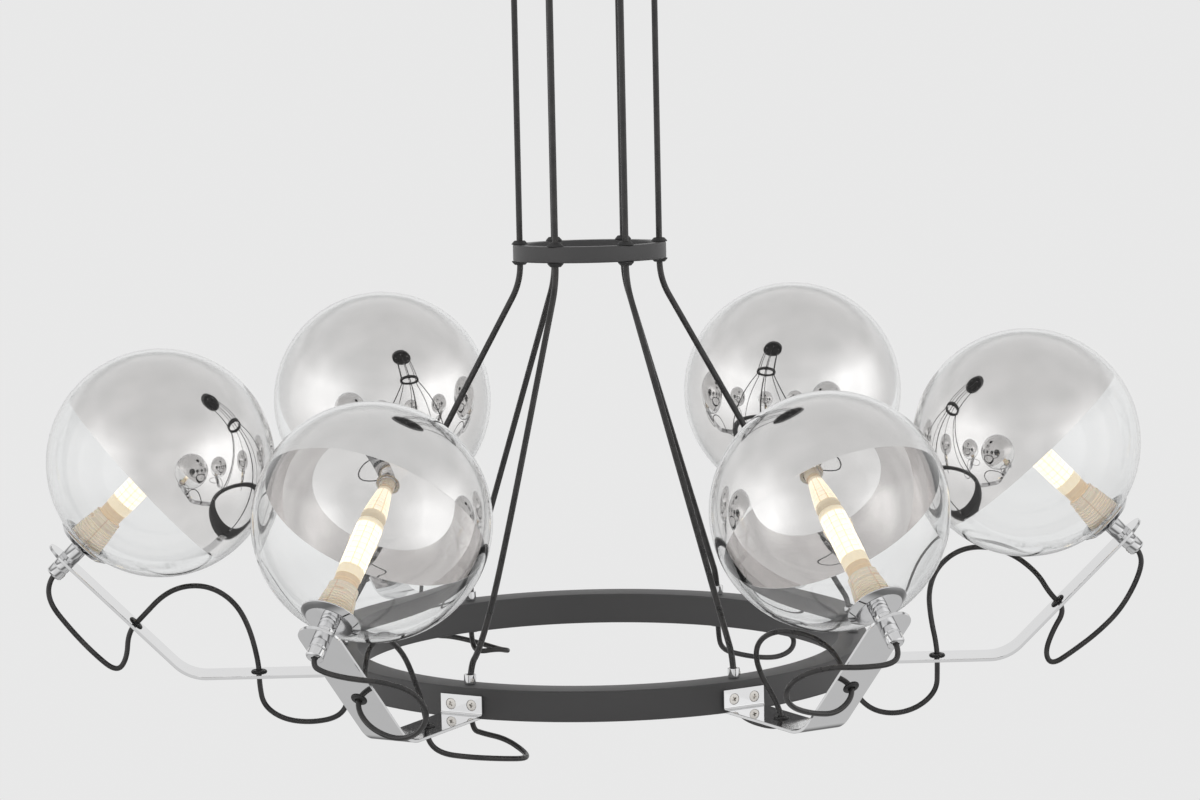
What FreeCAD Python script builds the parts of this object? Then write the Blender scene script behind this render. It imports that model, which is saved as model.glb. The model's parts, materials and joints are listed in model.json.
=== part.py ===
import FreeCAD, Part
import math
import os

# Orb chandelier: six glass globes on bent chrome straps round a square-tube ring, hung on six
# cords. Millimetres. The origin is the middle of the ceiling bracket's upper face, +Z is up and
# the front is -Y. Each arm is drawn in its own frame, with X outward from the middle of the
# ring, Y along the ring and Z up from the ring's mid-plane. Each lamp is drawn along its own
# axis, with Z from the strap into the globe. Each gland is drawn with Z out of the wall that
# it stands on.

V = FreeCAD.Vector
UP = V(0, 0, 1)
ORIGIN = V(0, 0, 0)
FULL_TURN = 360.0

# ---- whole lamp ----
ARM_COUNT = 6
FIRST_HEADING = 180.0  # degrees from +X to the first arm, the left one
SUSPENSION_DROP = 475.0  # ceiling to the main ring's mid-plane
SEAT_GAP = 0.05  # between flat faces that rest on each other across a joint
FIT_GAP = 0.1  # radial, a threaded or pushed piece in its hole
CORD_GAP = 0.15  # radial, a cord in a metal bore

# ---- main ring, a bent square tube ----
RING_OUTER_R = 178.0
RING_SECTION = 20.0
RING_WALL = 1.8

# ---- cords ----
SUSPENSION_CORD_D = 4.0
LEAD_D = 3.5
BEND_SHARE = 0.45  # share of the shorter run that an arc's tangent takes

# ---- arm straps ----
STRAP_WIDTH = 30.0
STRAP_THICKNESS = 2.0
STRAP_FLANGE_TOP = 5.5  # above the ring's mid-plane
STRAP_FLOOR = -8.0  # mid-plane of the level run, from the ring's mid-plane
STRAP_REACH = 347.4  # from the ring's axis to the stem hole
STRAP_FOLD_R = 2.6  # mid-plane radius of the fold at the ring
STRAP_BEND_R = 30.0  # mid-plane radius of the bend up to the lamp
LAMP_TILT = 45.0  # degrees of the lamp's axis from upright, towards the middle
LAMP_RISE = 78.1  # stem hole above the level run

# ---- strap screws ----
STRAP_SCREW_D = 4.0
STRAP_SCREW_LENGTH = 6.0
STRAP_SCREW_HEAD_D = 7.0
STRAP_SCREW_RIM = 0.3  # straight edge of the countersunk head
STRAP_SCREW_SPACING = 15.0
STRAP_SCREW_Z = -0.8
CROSS_WIDTH = 0.9
CROSS_SPAN = 4.0
CROSS_DEPTH = 1.1

# ---- rubber grommets ----
GROMMET_BORE_D = 4.5
ARM_GROMMET_FLANGE_D = 10.6
ARM_GROMMET_NECK_D = 7.0
ARM_GROMMET_LIP = 1.3
LEVEL_GROMMET_X = 223.4  # from the ring's axis
RISING_GROMMET_RUN = 49.0  # along the strap from its bend to the second grommet
RING_GROMMET_FLANGE_D = 11.0
RING_GROMMET_NECK_D = 8.0
RING_GROMMET_LIP = 1.2

# ---- glands on the ring and the canopy ----
RING_GLAND_D = 7.8
RING_GLAND_HEIGHT = 6.6
CANOPY_GLAND_D = 9.0
CANOPY_GLAND_HEIGHT = 8.0
GLAND_NECK_D = 5.8
GLAND_CHAMFER = 0.5
GLAND_NUT_HEIGHT = 2.6
GLAND_NUT_FLATS = 9.0
GLAND_NECK_END = 0.6  # neck beyond its nut
GRUB_D = 2.4
GRUB_PROUD = 0.3
GRUB_SLOT_WIDTH = 0.5
GRUB_SLOT_DEPTH = 0.8
RING_GRUB_TURN = 50.0  # degrees from the outward side

# ---- wiring in the ring ----
CONNECTOR_LENGTH = 11.0
CONNECTOR_WIDTH = 9.0
CONNECTOR_HEIGHT = 6.0
LOOM_D = 2.8

# ---- spacer ring ----
SPACER_OUTER_R = 50.0
SPACER_WIDTH = 9.0
SPACER_HEIGHT = 10.6
SPACER_RISE = 267.0  # above the main ring's mid-plane
SPACER_TILT = 4.7  # degrees, its front edge is the higher one
SPACER_NECK_D = 6.0
SPACER_BORE_D = 5.8
SPACER_FLANGE_D = 10.6
SPACER_FLANGE_TOP_D = 7.0
SPACER_FLANGE_HEIGHT = 2.6
GUIDE_BEND_R = 20.0  # a suspension cord where it turns upright below the spacer ring
GUIDE_DROP = 6.0  # that turn below the spacer's grommet

# ---- canopy and ceiling bracket ----
CANOPY_R = 65.0
CANOPY_HEIGHT = 28.0
CANOPY_WALL = 1.5
CANOPY_EDGE_R = 2.5
CEILING_GAP = 0.3
BRACKET_WIDTH = 24.0
BRACKET_THICKNESS = 1.5
BRACKET_TAB = 12.0
BRACKET_PLAY = 0.15  # tab corner to canopy wall
CEILING_HOLE_D = 5.2
CEILING_HOLE_SPACING = 60.0
CANOPY_SCREW_D = 4.0
CANOPY_SCREW_LENGTH = 7.0
CANOPY_SCREW_HEAD_D = 7.0
CANOPY_SCREW_HEAD = 2.2
CANOPY_SCREW_Z = -7.0
TERMINAL_LENGTH = 34.0
TERMINAL_WIDTH = 17.0
TERMINAL_HEIGHT = 13.0
TERMINAL_WAYS = 3
TERMINAL_PORT_D = 4.0
TERMINAL_WELL_D = 4.5
TERMINAL_WELL_DEPTH = 6.0

# ---- lamp, along its own axis from the strap's mid-plane ----
STEM_D = 7.8
STEM_BORE_D = 4.4
STEM_TAIL = 6.5  # stem below the strap's mid-plane
SLEEVE_D = 11.8
SLEEVE_LENGTH = 12.8
RELIEF_D = 11.6
RELIEF_LENGTH = 12.2
RELIEF_GROOVE_FROM_STRAP = 5.0
RELIEF_GROOVE_WIDTH = 0.6
RELIEF_GROOVE_DEPTH = 0.4
RELIEF_CHAMFER = 1.2
RELIEF_GRUB_FROM_END = 4.0
RELIEF_GRUB_TURN = 180.0  # degrees from the side that faces the ring
LEAD_INSET = 5.5  # lead inside its strain relief
CUP_FLOOR_D = 31.0
CUP_RIM_D = 39.2
CUP_THICKNESS = 1.2
CUP_DEPTH = 2.2  # rim above the cup's floor
HOLDER_SKIRT_D = 25.4
HOLDER_SKIRT = 4.0
HOLDER_THREAD_D = 24.4
HOLDER_CROWN_D = 19.6
HOLDER_LENGTH = 25.5
HOLDER_CROWN = 5.0
HOLDER_RIB_DEPTH = 0.5
HOLDER_RIB_COUNT = 9
HOLDER_FLOOR = 3.0
HOLDER_CAVITY_D = 15.0
HOLDER_CAVITY = 5.5
CONTACT_SPACING = 9.0
CONTACT_D = 3.3
CONTACT_LENGTH = 13.0
PIN_D = 1.9
PIN_LENGTH = 13.5
BULB_BASE_D = 15.8
BULB_BASE = 7.0
BULB_D = 16.6
BULB_LENGTH = 49.5
BULB_BAND = 6.4  # plain band above the base
BULB_CAP = 3.8
BULB_STEP = 0.3  # how far the lit core lies inside the band and the cap
BULB_EDGE = 1.2
GLOBE_D = 150.0
GLOBE_WALL = 2.0
GLOBE_CENTRE = 90.0  # from the strap's mid-plane
MOUTH_PLAY = 0.6  # radial, globe's mouth round the lampholder's skirt

# ---- lamp leads, each point outward, along the ring and up from the ring's mid-plane ----
LEAD_OUT = 4.0  # straight run out of the strain relief
GROMMET_RUN_IN = 6.5  # straight run on the outer side of a strap grommet
GROMMET_RUN_OUT = 8.0  # straight run on its inner side
RING_RUN = 9.0  # straight run below the ring
TUCK_GAP = 1.9  # below the ring's grommet, to the middle of a lead that is tucked under the strap
TUCK_BEND_R = 3.6
LEAD_LOOPS = [
    {
        "outer": [(360.2, 0, 43), (347.4, 0, 25.5), (332, 1, 8.3), (317, 0, -5.2), (310, 0, 3.6)],
        "arch": [(285, 0, 46), (270, 0, 52), (253, 0, 50.5), (238, 0, 40), (229, 0, 23)],
        "under": [(221, 0, -30), (208, 0, -39.5), (190, 0, -42), (172, 0, -39), (165, 0, -29)],
    },
    {
        "outer": [(361.5, 9, 54), (362, 28, 51.5), (356, 50, 50), (347, 66, 43), (338, 70, 28),
                  (330, 57, 13), (322, 36, 6.5), (315, 13, 11)],
        "arch": [(291, -3, 46), (280, -6, 55), (264, -5, 58), (248, -2, 46), (236, -1, 27)],
        "under": [(217, 6, -25), (203, 19, -29), (186, 34, -32), (167, 40, -35),
                  (153, 31, -34.5), (152, 16, -27), (160, 4, -23)],
    },
    {
        "outer": [(365, -7, 51), (363, -29, 51), (356, -48, 52.5), (348, -66, 48), (339, -71, 37),
                  (330, -61, 25), (322, -40, 17), (315, -17, 13)],
        "arch": [(286, 2, 43), (270, 0, 50.5), (252, -5, 53.5), (234, -13, 52), (218, -15, 41),
                 (211, -9, 23)],
        "under": [],
    },
    {
        "outer": [(357.5, 0, 43.5), (345.6, 0, 21.5), (330, 0, 6), (313, 0, -6.5),
                  (299, 0, -15.5), (294.5, 0, -7.5), (299.5, 0, 7)],
        "arch": [(291, 7, 45), (276, 20, 56), (258, 25, 61), (240, 22, 59.5), (225, 13, 50),
                 (218.5, 5, 35.5), (219.5, 1, 18)],
        "under": [(223, 0, -30), (212, 0, -41), (196, 0, -46), (180, 0, -43), (169, 0, -32)],
    },
    {
        "outer": [(360, 1, 43), (348, 2, 24), (334, 2, 8), (319, 0, -5), (308, 0, 2)],
        "arch": [(286, 0, 46), (272, 0, 54), (254, 0, 53), (239, 0, 43), (228, 0, 25)],
        "under": [(222, -9, -24), (229, -18, -25), (234, -24, -29), (230, -25, -37),
                  (217, -21, -40.5), (201, -15, -38.5), (186, -6, -34), (174, 0, -29)],
    },
    {
        "outer": [(360, -1, 43), (348, -2, 24), (333, -2, 8), (317, 0, -6), (307, 0, 2)],
        "arch": [(287, 1, 46), (274, 3, 53), (257, 5, 55), (240, 4, 51.5), (228, 2, 39),
                 (222, 1, 22)],
        "under": [(216, 2, -21.5), (201, -3, -20), (186, -14, -23), (168, -24, -27),
                  (154, -22, -25), (151, -10, -22), (158, 1, -24)],
    },
]

# ---- suspension cords, each point outward and up from the ring's mid-plane ----
GLAND_RUN = 5.0  # above the ring gland, where a cord starts to lean inward
GLAND_BEND_R = 10.0
SUSPENSION_BOWS = [[], [(155, 30), (128, 72)], [], [], [], []]

# ---- worked out from the sizes above ----
RING_MID_R = RING_OUTER_R - RING_SECTION / 2
RING_INNER_R = RING_OUTER_R - RING_SECTION
RING_TOP = RING_SECTION / 2
STRAP_BACK_X = RING_OUTER_R + SEAT_GAP
STRAP_FLANGE_X = STRAP_BACK_X + STRAP_THICKNESS / 2
TILT = math.radians(LAMP_TILT)
STRAP_RISE_DIRECTION = V(math.cos(TILT), 0, math.sin(TILT))
LAMP_DIRECTION = V(-math.sin(TILT), 0, math.cos(TILT))
STEM_HOLE = V(STRAP_REACH, 0, STRAP_FLOOR + LAMP_RISE)
STRAP_CORNER = STEM_HOLE - STRAP_RISE_DIRECTION * (LAMP_RISE / math.sin(TILT))
STRAP_TIP = STEM_HOLE + STRAP_RISE_DIRECTION * (STRAP_WIDTH / 2)
LEVEL_GROMMET = V(LEVEL_GROMMET_X, 0, STRAP_FLOOR)
RISING_GROMMET = STRAP_CORNER + STRAP_RISE_DIRECTION * RISING_GROMMET_RUN
SPACER_MID_R = SPACER_OUTER_R - SPACER_WIDTH / 2
STRAP_FACE = STRAP_THICKNESS / 2
CUP_BOTTOM = STRAP_FACE + SLEEVE_LENGTH
HOLDER_BOTTOM = CUP_BOTTOM + CUP_THICKNESS
HOLDER_TOP = HOLDER_BOTTOM + HOLDER_LENGTH
RELIEF_END = -STRAP_FACE - RELIEF_LENGTH
STEM_TOP = HOLDER_BOTTOM + HOLDER_FLOOR
MOUTH_R = HOLDER_SKIRT_D / 2 + MOUTH_PLAY
CONNECTOR_TOP = CONNECTOR_HEIGHT / 2
TUCK_Z = -RING_TOP - RING_GROMMET_LIP - LEAD_D / 2 - TUCK_GAP


# ---- shared shapes ----
def cylinder(radius, low, high, at=ORIGIN):
    """An upright cylinder between two heights."""
    return Part.makeCylinder(radius, high - low, at + UP * low, UP)


def box(size_x, size_y, low, high):
    """An upright box centred on the Z axis, between two heights."""
    return Part.makeBox(size_x, size_y, high - low, V(-size_x / 2, -size_y / 2, low))


def revolved(profile):
    """A solid of revolution about Z from (radius, height) corners."""
    corners = [V(r, 0, z) for r, z in profile]
    return Part.Face(Part.makePolygon(corners + corners[:1])).revolve(ORIGIN, UP, FULL_TURN)


def hexagon(flats, low, high):
    """An upright hexagonal bar, given its width across flats."""
    radius = flats / 2 / math.cos(math.pi / 6)
    corners = [V(radius, 0, low)]
    for step in range(1, 6):
        angle = step * math.pi / 3
        corners.append(V(radius * math.cos(angle), radius * math.sin(angle), low))
    return Part.Face(Part.makePolygon(corners + corners[:1])).extrude(UP * (high - low))


def turned(shape, degrees, axis=UP):
    """A copy turned about an axis through the frame's origin."""
    copy = shape.copy()
    copy.rotate(ORIGIN, axis, degrees)
    return copy


def moved(shape, offset):
    """A copy moved by a vector."""
    copy = shape.copy()
    copy.translate(offset)
    return copy


def heading(arm):
    """The direction of an arm in degrees from +X."""
    return FIRST_HEADING + arm * FULL_TURN / ARM_COUNT


def on_arm(shape, arm):
    """A shape of the arm's frame, put at its arm."""
    return moved(turned(shape, heading(arm)), -UP * SUSPENSION_DROP)


def on_all_arms(shape):
    """One copy of a shape of the arm's frame at each arm."""
    return [on_arm(shape, arm) for arm in range(ARM_COUNT)]


def on_lamp(shape):
    """A shape of the lamp's frame, put in the arm's frame."""
    return moved(turned(shape, -LAMP_TILT, V(0, 1, 0)), STEM_HOLE)


def save(node, solids):
    """One file for the node, which holds its solids."""
    Part.makeCompound(solids).exportStep(f"parts/{node}.step")
    print(node, len(solids), "solids")


# ---- paths of straight runs joined by tangent arcs ----
def corner_facts(before, corner, after):
    """The two directions at a corner and half the turn between them."""
    first = (corner - before).normalize()
    second = (after - corner).normalize()
    half_turn = first.getAngle(second) / 2
    return first, second, half_turn


def rounded_path(points, radii):
    """Edges along the points, with an arc of the given radius at each inner point."""
    edges = []
    start = points[0]
    for i, radius in enumerate(radii, 1):
        first, second, half_turn = corner_facts(points[i - 1], points[i], points[i + 1])
        tangent = radius * math.tan(half_turn)
        inward = (second - first).normalize()
        centre = points[i] + inward * (radius / math.cos(half_turn))
        arc_start = points[i] - first * tangent
        arc_end = points[i] + second * tangent
        edges.append(Part.LineSegment(start, arc_start).toShape())
        edges.append(Part.Arc(arc_start, centre - inward * radius, arc_end).toShape())
        start = arc_end
    edges.append(Part.LineSegment(start, points[-1]).toShape())
    return edges


def roomy_radii(points, fixed):
    """For each inner point the largest arc that its two runs allow, or the fixed one."""
    radii = []
    for i in range(1, len(points) - 1):
        half_turn = corner_facts(points[i - 1], points[i], points[i + 1])[2]
        shorter = min((points[i] - points[i - 1]).Length, (points[i + 1] - points[i]).Length)
        radii.append(fixed.get(i, BEND_SHARE * shorter / math.tan(half_turn)))
    return radii


def cord_tube(name, points, diameter, fixed=None):
    """A round cord along the points. It prints its length, arcs and volume share."""
    radii = roomy_radii(points, fixed or {})
    path = Part.Wire(rounded_path(points, radii))
    start_direction = (points[1] - points[0]).normalize()
    section = Part.Wire([Part.makeCircle(diameter / 2, points[0], start_direction)])
    tube = path.makePipeShell([section], True, False)
    share = tube.Volume / (math.pi * diameter**2 / 4 * path.Length)
    arcs = " ".join(f"{radius:.1f}" for radius in radii)
    print(f"{name}: length {path.Length:.1f}, volume share {share:.4f}, arcs {arcs}")
    return tube


def offset_points(points, side, distance):
    """Corners of a path drawn in the XZ plane, moved sideways by a distance."""
    moved_points = []
    for i, point in enumerate(points):
        runs = []
        if i > 0:
            runs.append((point - points[i - 1]).normalize())
        if i < len(points) - 1:
            runs.append((points[i + 1] - point).normalize())
        normals = [V(-run.z, 0, run.x) for run in runs]
        total = normals[0] + normals[-1]
        spread = 1 + normals[0].dot(normals[-1])
        moved_points.append(point + total * (side * distance / spread))
    return moved_points


def bent_strip(points, radii, thickness, width):
    """Flat bar bent along a path in the XZ plane, each radius that of its mid-plane."""
    sides = []
    for side in (1, -1):
        side_radii = []
        for i, radius in enumerate(radii, 1):
            before = points[i] - points[i - 1]
            after = points[i + 1] - points[i]
            turns_left = before.x * after.z - before.z * after.x > 0
            inside = 1 if turns_left else -1
            side_radii.append(radius - side * inside * thickness / 2)
        corners = offset_points(points, side, thickness / 2)
        sides.append((corners, rounded_path(corners, side_radii)))
    (left, left_edges), (right, right_edges) = sides
    caps = [Part.LineSegment(left[-1], right[-1]).toShape()]
    caps.append(Part.LineSegment(right[0], left[0]).toShape())
    outline = Part.Wire(Part.__sortEdges__(left_edges + right_edges + caps))
    return moved(Part.Face(outline).extrude(V(0, width, 0)), V(0, -width / 2, 0))


# ---- fasteners ----
def cross_recess(top):
    """The cross of a screw head, cut down from a height."""
    bar = box(CROSS_SPAN, CROSS_WIDTH, top - CROSS_DEPTH, top)
    return bar.fuse(turned(bar, 90.0))


def strap_screw():
    """A countersunk screw, its head's face at height 0 and its shank down."""
    head_r = STRAP_SCREW_HEAD_D / 2
    shank_r = STRAP_SCREW_D / 2
    cone_end = -STRAP_SCREW_RIM - (head_r - shank_r)
    profile = [(0, 0), (head_r, 0), (head_r, -STRAP_SCREW_RIM), (shank_r, cone_end)]
    profile += [(shank_r, -STRAP_SCREW_LENGTH), (0, -STRAP_SCREW_LENGTH)]
    return revolved(profile).cut(cross_recess(0))


def strap_screw_hole():
    """The countersunk hole that the screw sits in, with its fit."""
    head_r = STRAP_SCREW_HEAD_D / 2 + FIT_GAP
    shank_r = STRAP_SCREW_D / 2 + FIT_GAP
    cone_end = -STRAP_SCREW_RIM - FIT_GAP - (head_r - shank_r)
    profile = [(0, 1), (head_r, 1), (head_r, -STRAP_SCREW_RIM - FIT_GAP), (shank_r, cone_end)]
    profile += [(shank_r, -STRAP_THICKNESS - RING_SECTION / 2)]
    profile += [(0, -STRAP_THICKNESS - RING_SECTION / 2)]
    return revolved(profile)


def on_strap_screws(shape):
    """Copies of a shape at the two screws of the strap's flange, with Z turned outward."""
    outward = turned(shape, 90.0, V(0, 1, 0))
    face = V(STRAP_BACK_X + STRAP_THICKNESS, 0, STRAP_SCREW_Z)
    sides = (-STRAP_SCREW_SPACING / 2, STRAP_SCREW_SPACING / 2)
    return [moved(outward, face + V(0, side, 0)) for side in sides]


def grub_screw(cord_d, body_d):
    """A slotted grub screw along X, from the cord to just proud of the body."""
    inner = cord_d / 2 + SEAT_GAP
    outer = body_d / 2 + GRUB_PROUD
    screw = Part.makeCylinder(GRUB_D / 2, outer - inner, V(inner, 0, 0), V(1, 0, 0))
    slot = Part.makeBox(
        GRUB_SLOT_DEPTH, GRUB_D, GRUB_SLOT_WIDTH,
        V(outer - GRUB_SLOT_DEPTH, -GRUB_D / 2, -GRUB_SLOT_WIDTH / 2),
    )
    return screw.cut(slot)


def grub_hole(body_d):
    """The hole along X that a grub screw sits in."""
    return Part.makeCylinder(GRUB_D / 2 + FIT_GAP / 2, body_d, ORIGIN, V(1, 0, 0))


# ---- glands of the suspension cords ----
def gland(body_d, height, wall):
    """A cord gland that stands on a wall at height 0, its neck through the wall."""
    radius = body_d / 2
    neck = wall + GLAND_NUT_HEIGHT + GLAND_NECK_END
    profile = [(0, -neck), (GLAND_NECK_D / 2, -neck), (GLAND_NECK_D / 2, 0), (radius, 0)]
    profile += [(radius, height - GLAND_CHAMFER), (radius - GLAND_CHAMFER, height), (0, height)]
    body = revolved(profile)
    body = body.cut(cylinder(SUSPENSION_CORD_D / 2 + CORD_GAP, -neck - 1, height + 1))
    return body.cut(moved(grub_hole(body_d), UP * (height / 2)))


def gland_nut(wall):
    """The nut on a gland's neck, against the far side of the wall."""
    nut = hexagon(GLAND_NUT_FLATS, -wall - GLAND_NUT_HEIGHT, -wall)
    return nut.cut(cylinder(GLAND_NECK_D / 2 + FIT_GAP / 2, -wall - RING_SECTION, 0))


def gland_hole(wall):
    """The hole in the wall for a gland's neck."""
    return cylinder(GLAND_NECK_D / 2 + FIT_GAP, -wall - 1, 1)


def gland_grub(body_d, height):
    """The grub screw in a gland's side."""
    return moved(grub_screw(SUSPENSION_CORD_D, body_d), UP * (height / 2))


def on_ring_top(shape):
    """A shape of the gland's frame, put on the ring's upper face."""
    return moved(shape, V(RING_MID_R, 0, RING_TOP))


def on_canopy_floor(shape, arm):
    """A shape of the gland's frame, put under the canopy's floor at an arm's heading."""
    hung = moved(turned(shape, 180.0, V(1, 0, 0)), V(SPACER_MID_R, 0, -CANOPY_HEIGHT))
    return turned(hung, heading(arm))


# ---- rubber grommets ----
def grommet(wall, neck_d, flange_d, lip):
    """A grommet in a wall centred on height 0, with a lip on each side."""
    inner = wall / 2
    profile = [(GROMMET_BORE_D / 2, -inner - lip), (flange_d / 2 - lip / 2, -inner - lip)]
    profile += [(flange_d / 2, -inner - lip / 2), (flange_d / 2, -inner)]
    profile += [(neck_d / 2, -inner), (neck_d / 2, inner), (flange_d / 2, inner)]
    profile += [(flange_d / 2, inner + lip / 2), (flange_d / 2 - lip / 2, inner + lip)]
    profile += [(GROMMET_BORE_D / 2, inner + lip)]
    return revolved(profile)


def arm_grommet():
    """The grommet of both holes in a strap."""
    return grommet(STRAP_THICKNESS, ARM_GROMMET_NECK_D, ARM_GROMMET_FLANGE_D, ARM_GROMMET_LIP)


def on_strap_grommets(shape):
    """Copies of a shape at the strap's level and rising grommets."""
    return [moved(shape, LEVEL_GROMMET), moved(turned(shape, -LAMP_TILT, V(0, 1, 0)), RISING_GROMMET)]


def on_ring_floor(shape):
    """A shape drawn about a wall's middle, put in the ring's lower wall."""
    return moved(shape, V(RING_MID_R, 0, -RING_TOP + RING_WALL / 2))


# ---- main ring ----
def make_ring():
    """The square tube ring with its wiring channel and every hole."""
    tube = cylinder(RING_OUTER_R, -RING_TOP, RING_TOP).cut(
        cylinder(RING_INNER_R, -RING_TOP, RING_TOP)
    )
    channel_top = RING_TOP - RING_WALL
    channel = cylinder(RING_OUTER_R - RING_WALL, -channel_top, channel_top).cut(
        cylinder(RING_INNER_R + RING_WALL, -channel_top, channel_top)
    )
    tube = tube.cut(channel)
    lead_hole = cylinder(RING_GROMMET_NECK_D / 2 + FIT_GAP, -RING_WALL, RING_WALL)
    holes = [on_ring_top(gland_hole(RING_WALL)), on_ring_floor(lead_hole)]
    holes += on_strap_screws(strap_screw_hole())
    cuts = []
    for arm in range(ARM_COUNT):
        cuts += [turned(hole, heading(arm)) for hole in holes]
    save("ring_tube", [moved(tube.cut(cuts), -UP * SUSPENSION_DROP)])


def make_ring_fittings():
    """Glands on top of the ring, grommets below it and the wiring inside."""
    turned_grub = turned(gland_grub(RING_GLAND_D, RING_GLAND_HEIGHT), RING_GRUB_TURN)
    turned_gland = turned(gland(RING_GLAND_D, RING_GLAND_HEIGHT, RING_WALL), RING_GRUB_TURN)
    save("ring_glands", on_all_arms(on_ring_top(turned_gland)))
    save("ring_gland_screws", on_all_arms(on_ring_top(turned_grub)))
    save("ring_gland_nuts", on_all_arms(on_ring_top(gland_nut(RING_WALL))))
    lead_grommet = grommet(RING_WALL, RING_GROMMET_NECK_D, RING_GROMMET_FLANGE_D, RING_GROMMET_LIP)
    save("ring_grommets", on_all_arms(on_ring_floor(lead_grommet)))
    connector = box(CONNECTOR_WIDTH, CONNECTOR_LENGTH, -CONNECTOR_TOP, CONNECTOR_TOP)
    save("ring_connectors", on_all_arms(moved(connector, V(RING_MID_R, 0, 0))))
    save("ring_loom", on_all_arms(loom_stretch()))


def loom_stretch():
    """The wiring from one connector to the next."""
    margin = math.degrees(math.asin(CONNECTOR_LENGTH / 2 / (RING_MID_R - LOOM_D / 2)))
    sweep = FULL_TURN / ARM_COUNT - 2 * margin
    section = Part.Face(Part.Wire([Part.makeCircle(LOOM_D / 2, V(RING_MID_R, 0, 0), V(0, 1, 0))]))
    return turned(section.revolve(ORIGIN, UP, sweep), margin)


# ---- arms ----
def make_arms():
    """The bent straps with their holes, screws and grommets."""
    path = [V(STRAP_FLANGE_X, 0, STRAP_FLANGE_TOP), V(STRAP_FLANGE_X, 0, STRAP_FLOOR)]
    path += [STRAP_CORNER, STRAP_TIP]
    strap = bent_strip(path, [STRAP_FOLD_R, STRAP_BEND_R], STRAP_THICKNESS, STRAP_WIDTH)
    end_block = Part.makeBox(
        STRAP_WIDTH, STRAP_WIDTH, STRAP_WIDTH, V(0, -STRAP_WIDTH / 2, -STRAP_WIDTH / 2)
    )
    end_round = cylinder(STRAP_WIDTH / 2, -STRAP_WIDTH, STRAP_WIDTH)
    strap = strap.cut(on_lamp(end_block.cut(end_round)))
    strap = strap.cut(on_lamp(cylinder(STEM_D / 2 + FIT_GAP, -STRAP_THICKNESS, STRAP_THICKNESS)))
    grommet_hole = cylinder(ARM_GROMMET_NECK_D / 2 + FIT_GAP, -STRAP_THICKNESS, STRAP_THICKNESS)
    strap = strap.cut(on_strap_grommets(grommet_hole) + on_strap_screws(strap_screw_hole()))
    for arm in range(ARM_COUNT):
        save(f"arm_strap_{arm + 1}", [on_arm(strap, arm)])
    screws = []
    grommets = []
    for arm in range(ARM_COUNT):
        screws += [on_arm(screw, arm) for screw in on_strap_screws(strap_screw())]
        grommets += [on_arm(rubber, arm) for rubber in on_strap_grommets(arm_grommet())]
    save("arm_screws", screws)
    save("arm_grommets", grommets)


# ---- lamps ----
def relief_body():
    """The strain relief below the strap, with its groove, bores and grub hole."""
    radius = RELIEF_D / 2
    top = -STRAP_FACE
    groove_top = top - RELIEF_GROOVE_FROM_STRAP
    groove_low = groove_top - RELIEF_GROOVE_WIDTH
    profile = [(0, top), (radius, top), (radius, groove_top)]
    profile += [(radius - RELIEF_GROOVE_DEPTH, groove_top)]
    profile += [(radius - RELIEF_GROOVE_DEPTH, groove_low), (radius, groove_low)]
    profile += [(radius, RELIEF_END + RELIEF_CHAMFER), (radius - RELIEF_CHAMFER, RELIEF_END)]
    profile += [(0, RELIEF_END)]
    body = revolved(profile)
    body = body.cut(cylinder(STEM_D / 2 + FIT_GAP, -STEM_TAIL - FIT_GAP, 0))
    body = body.cut(cylinder(LEAD_D / 2 + CORD_GAP, RELIEF_END - 1, 0))
    grub_z = RELIEF_END + RELIEF_GRUB_FROM_END
    return body.cut(moved(turned(grub_hole(RELIEF_D), RELIEF_GRUB_TURN), UP * grub_z))


def relief_grub():
    """The grub screw that grips the lead in its strain relief."""
    grub_z = RELIEF_END + RELIEF_GRUB_FROM_END
    return moved(turned(grub_screw(LEAD_D, RELIEF_D), RELIEF_GRUB_TURN), UP * grub_z)


def cup():
    """The shallow cup under the globe, open where the stem passes."""
    floor_r = CUP_FLOOR_D / 2
    rim_r = CUP_RIM_D / 2
    hole_r = STEM_D / 2 + FIT_GAP
    rim_top = HOLDER_BOTTOM + CUP_DEPTH
    profile = [(hole_r, CUP_BOTTOM), (floor_r, CUP_BOTTOM), (rim_r, rim_top - CUP_THICKNESS / 2)]
    profile += [(rim_r, rim_top), (rim_r - CUP_THICKNESS / 2, rim_top)]
    profile += [(floor_r - CUP_THICKNESS / 3, HOLDER_BOTTOM), (hole_r, HOLDER_BOTTOM)]
    return revolved(profile)


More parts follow.
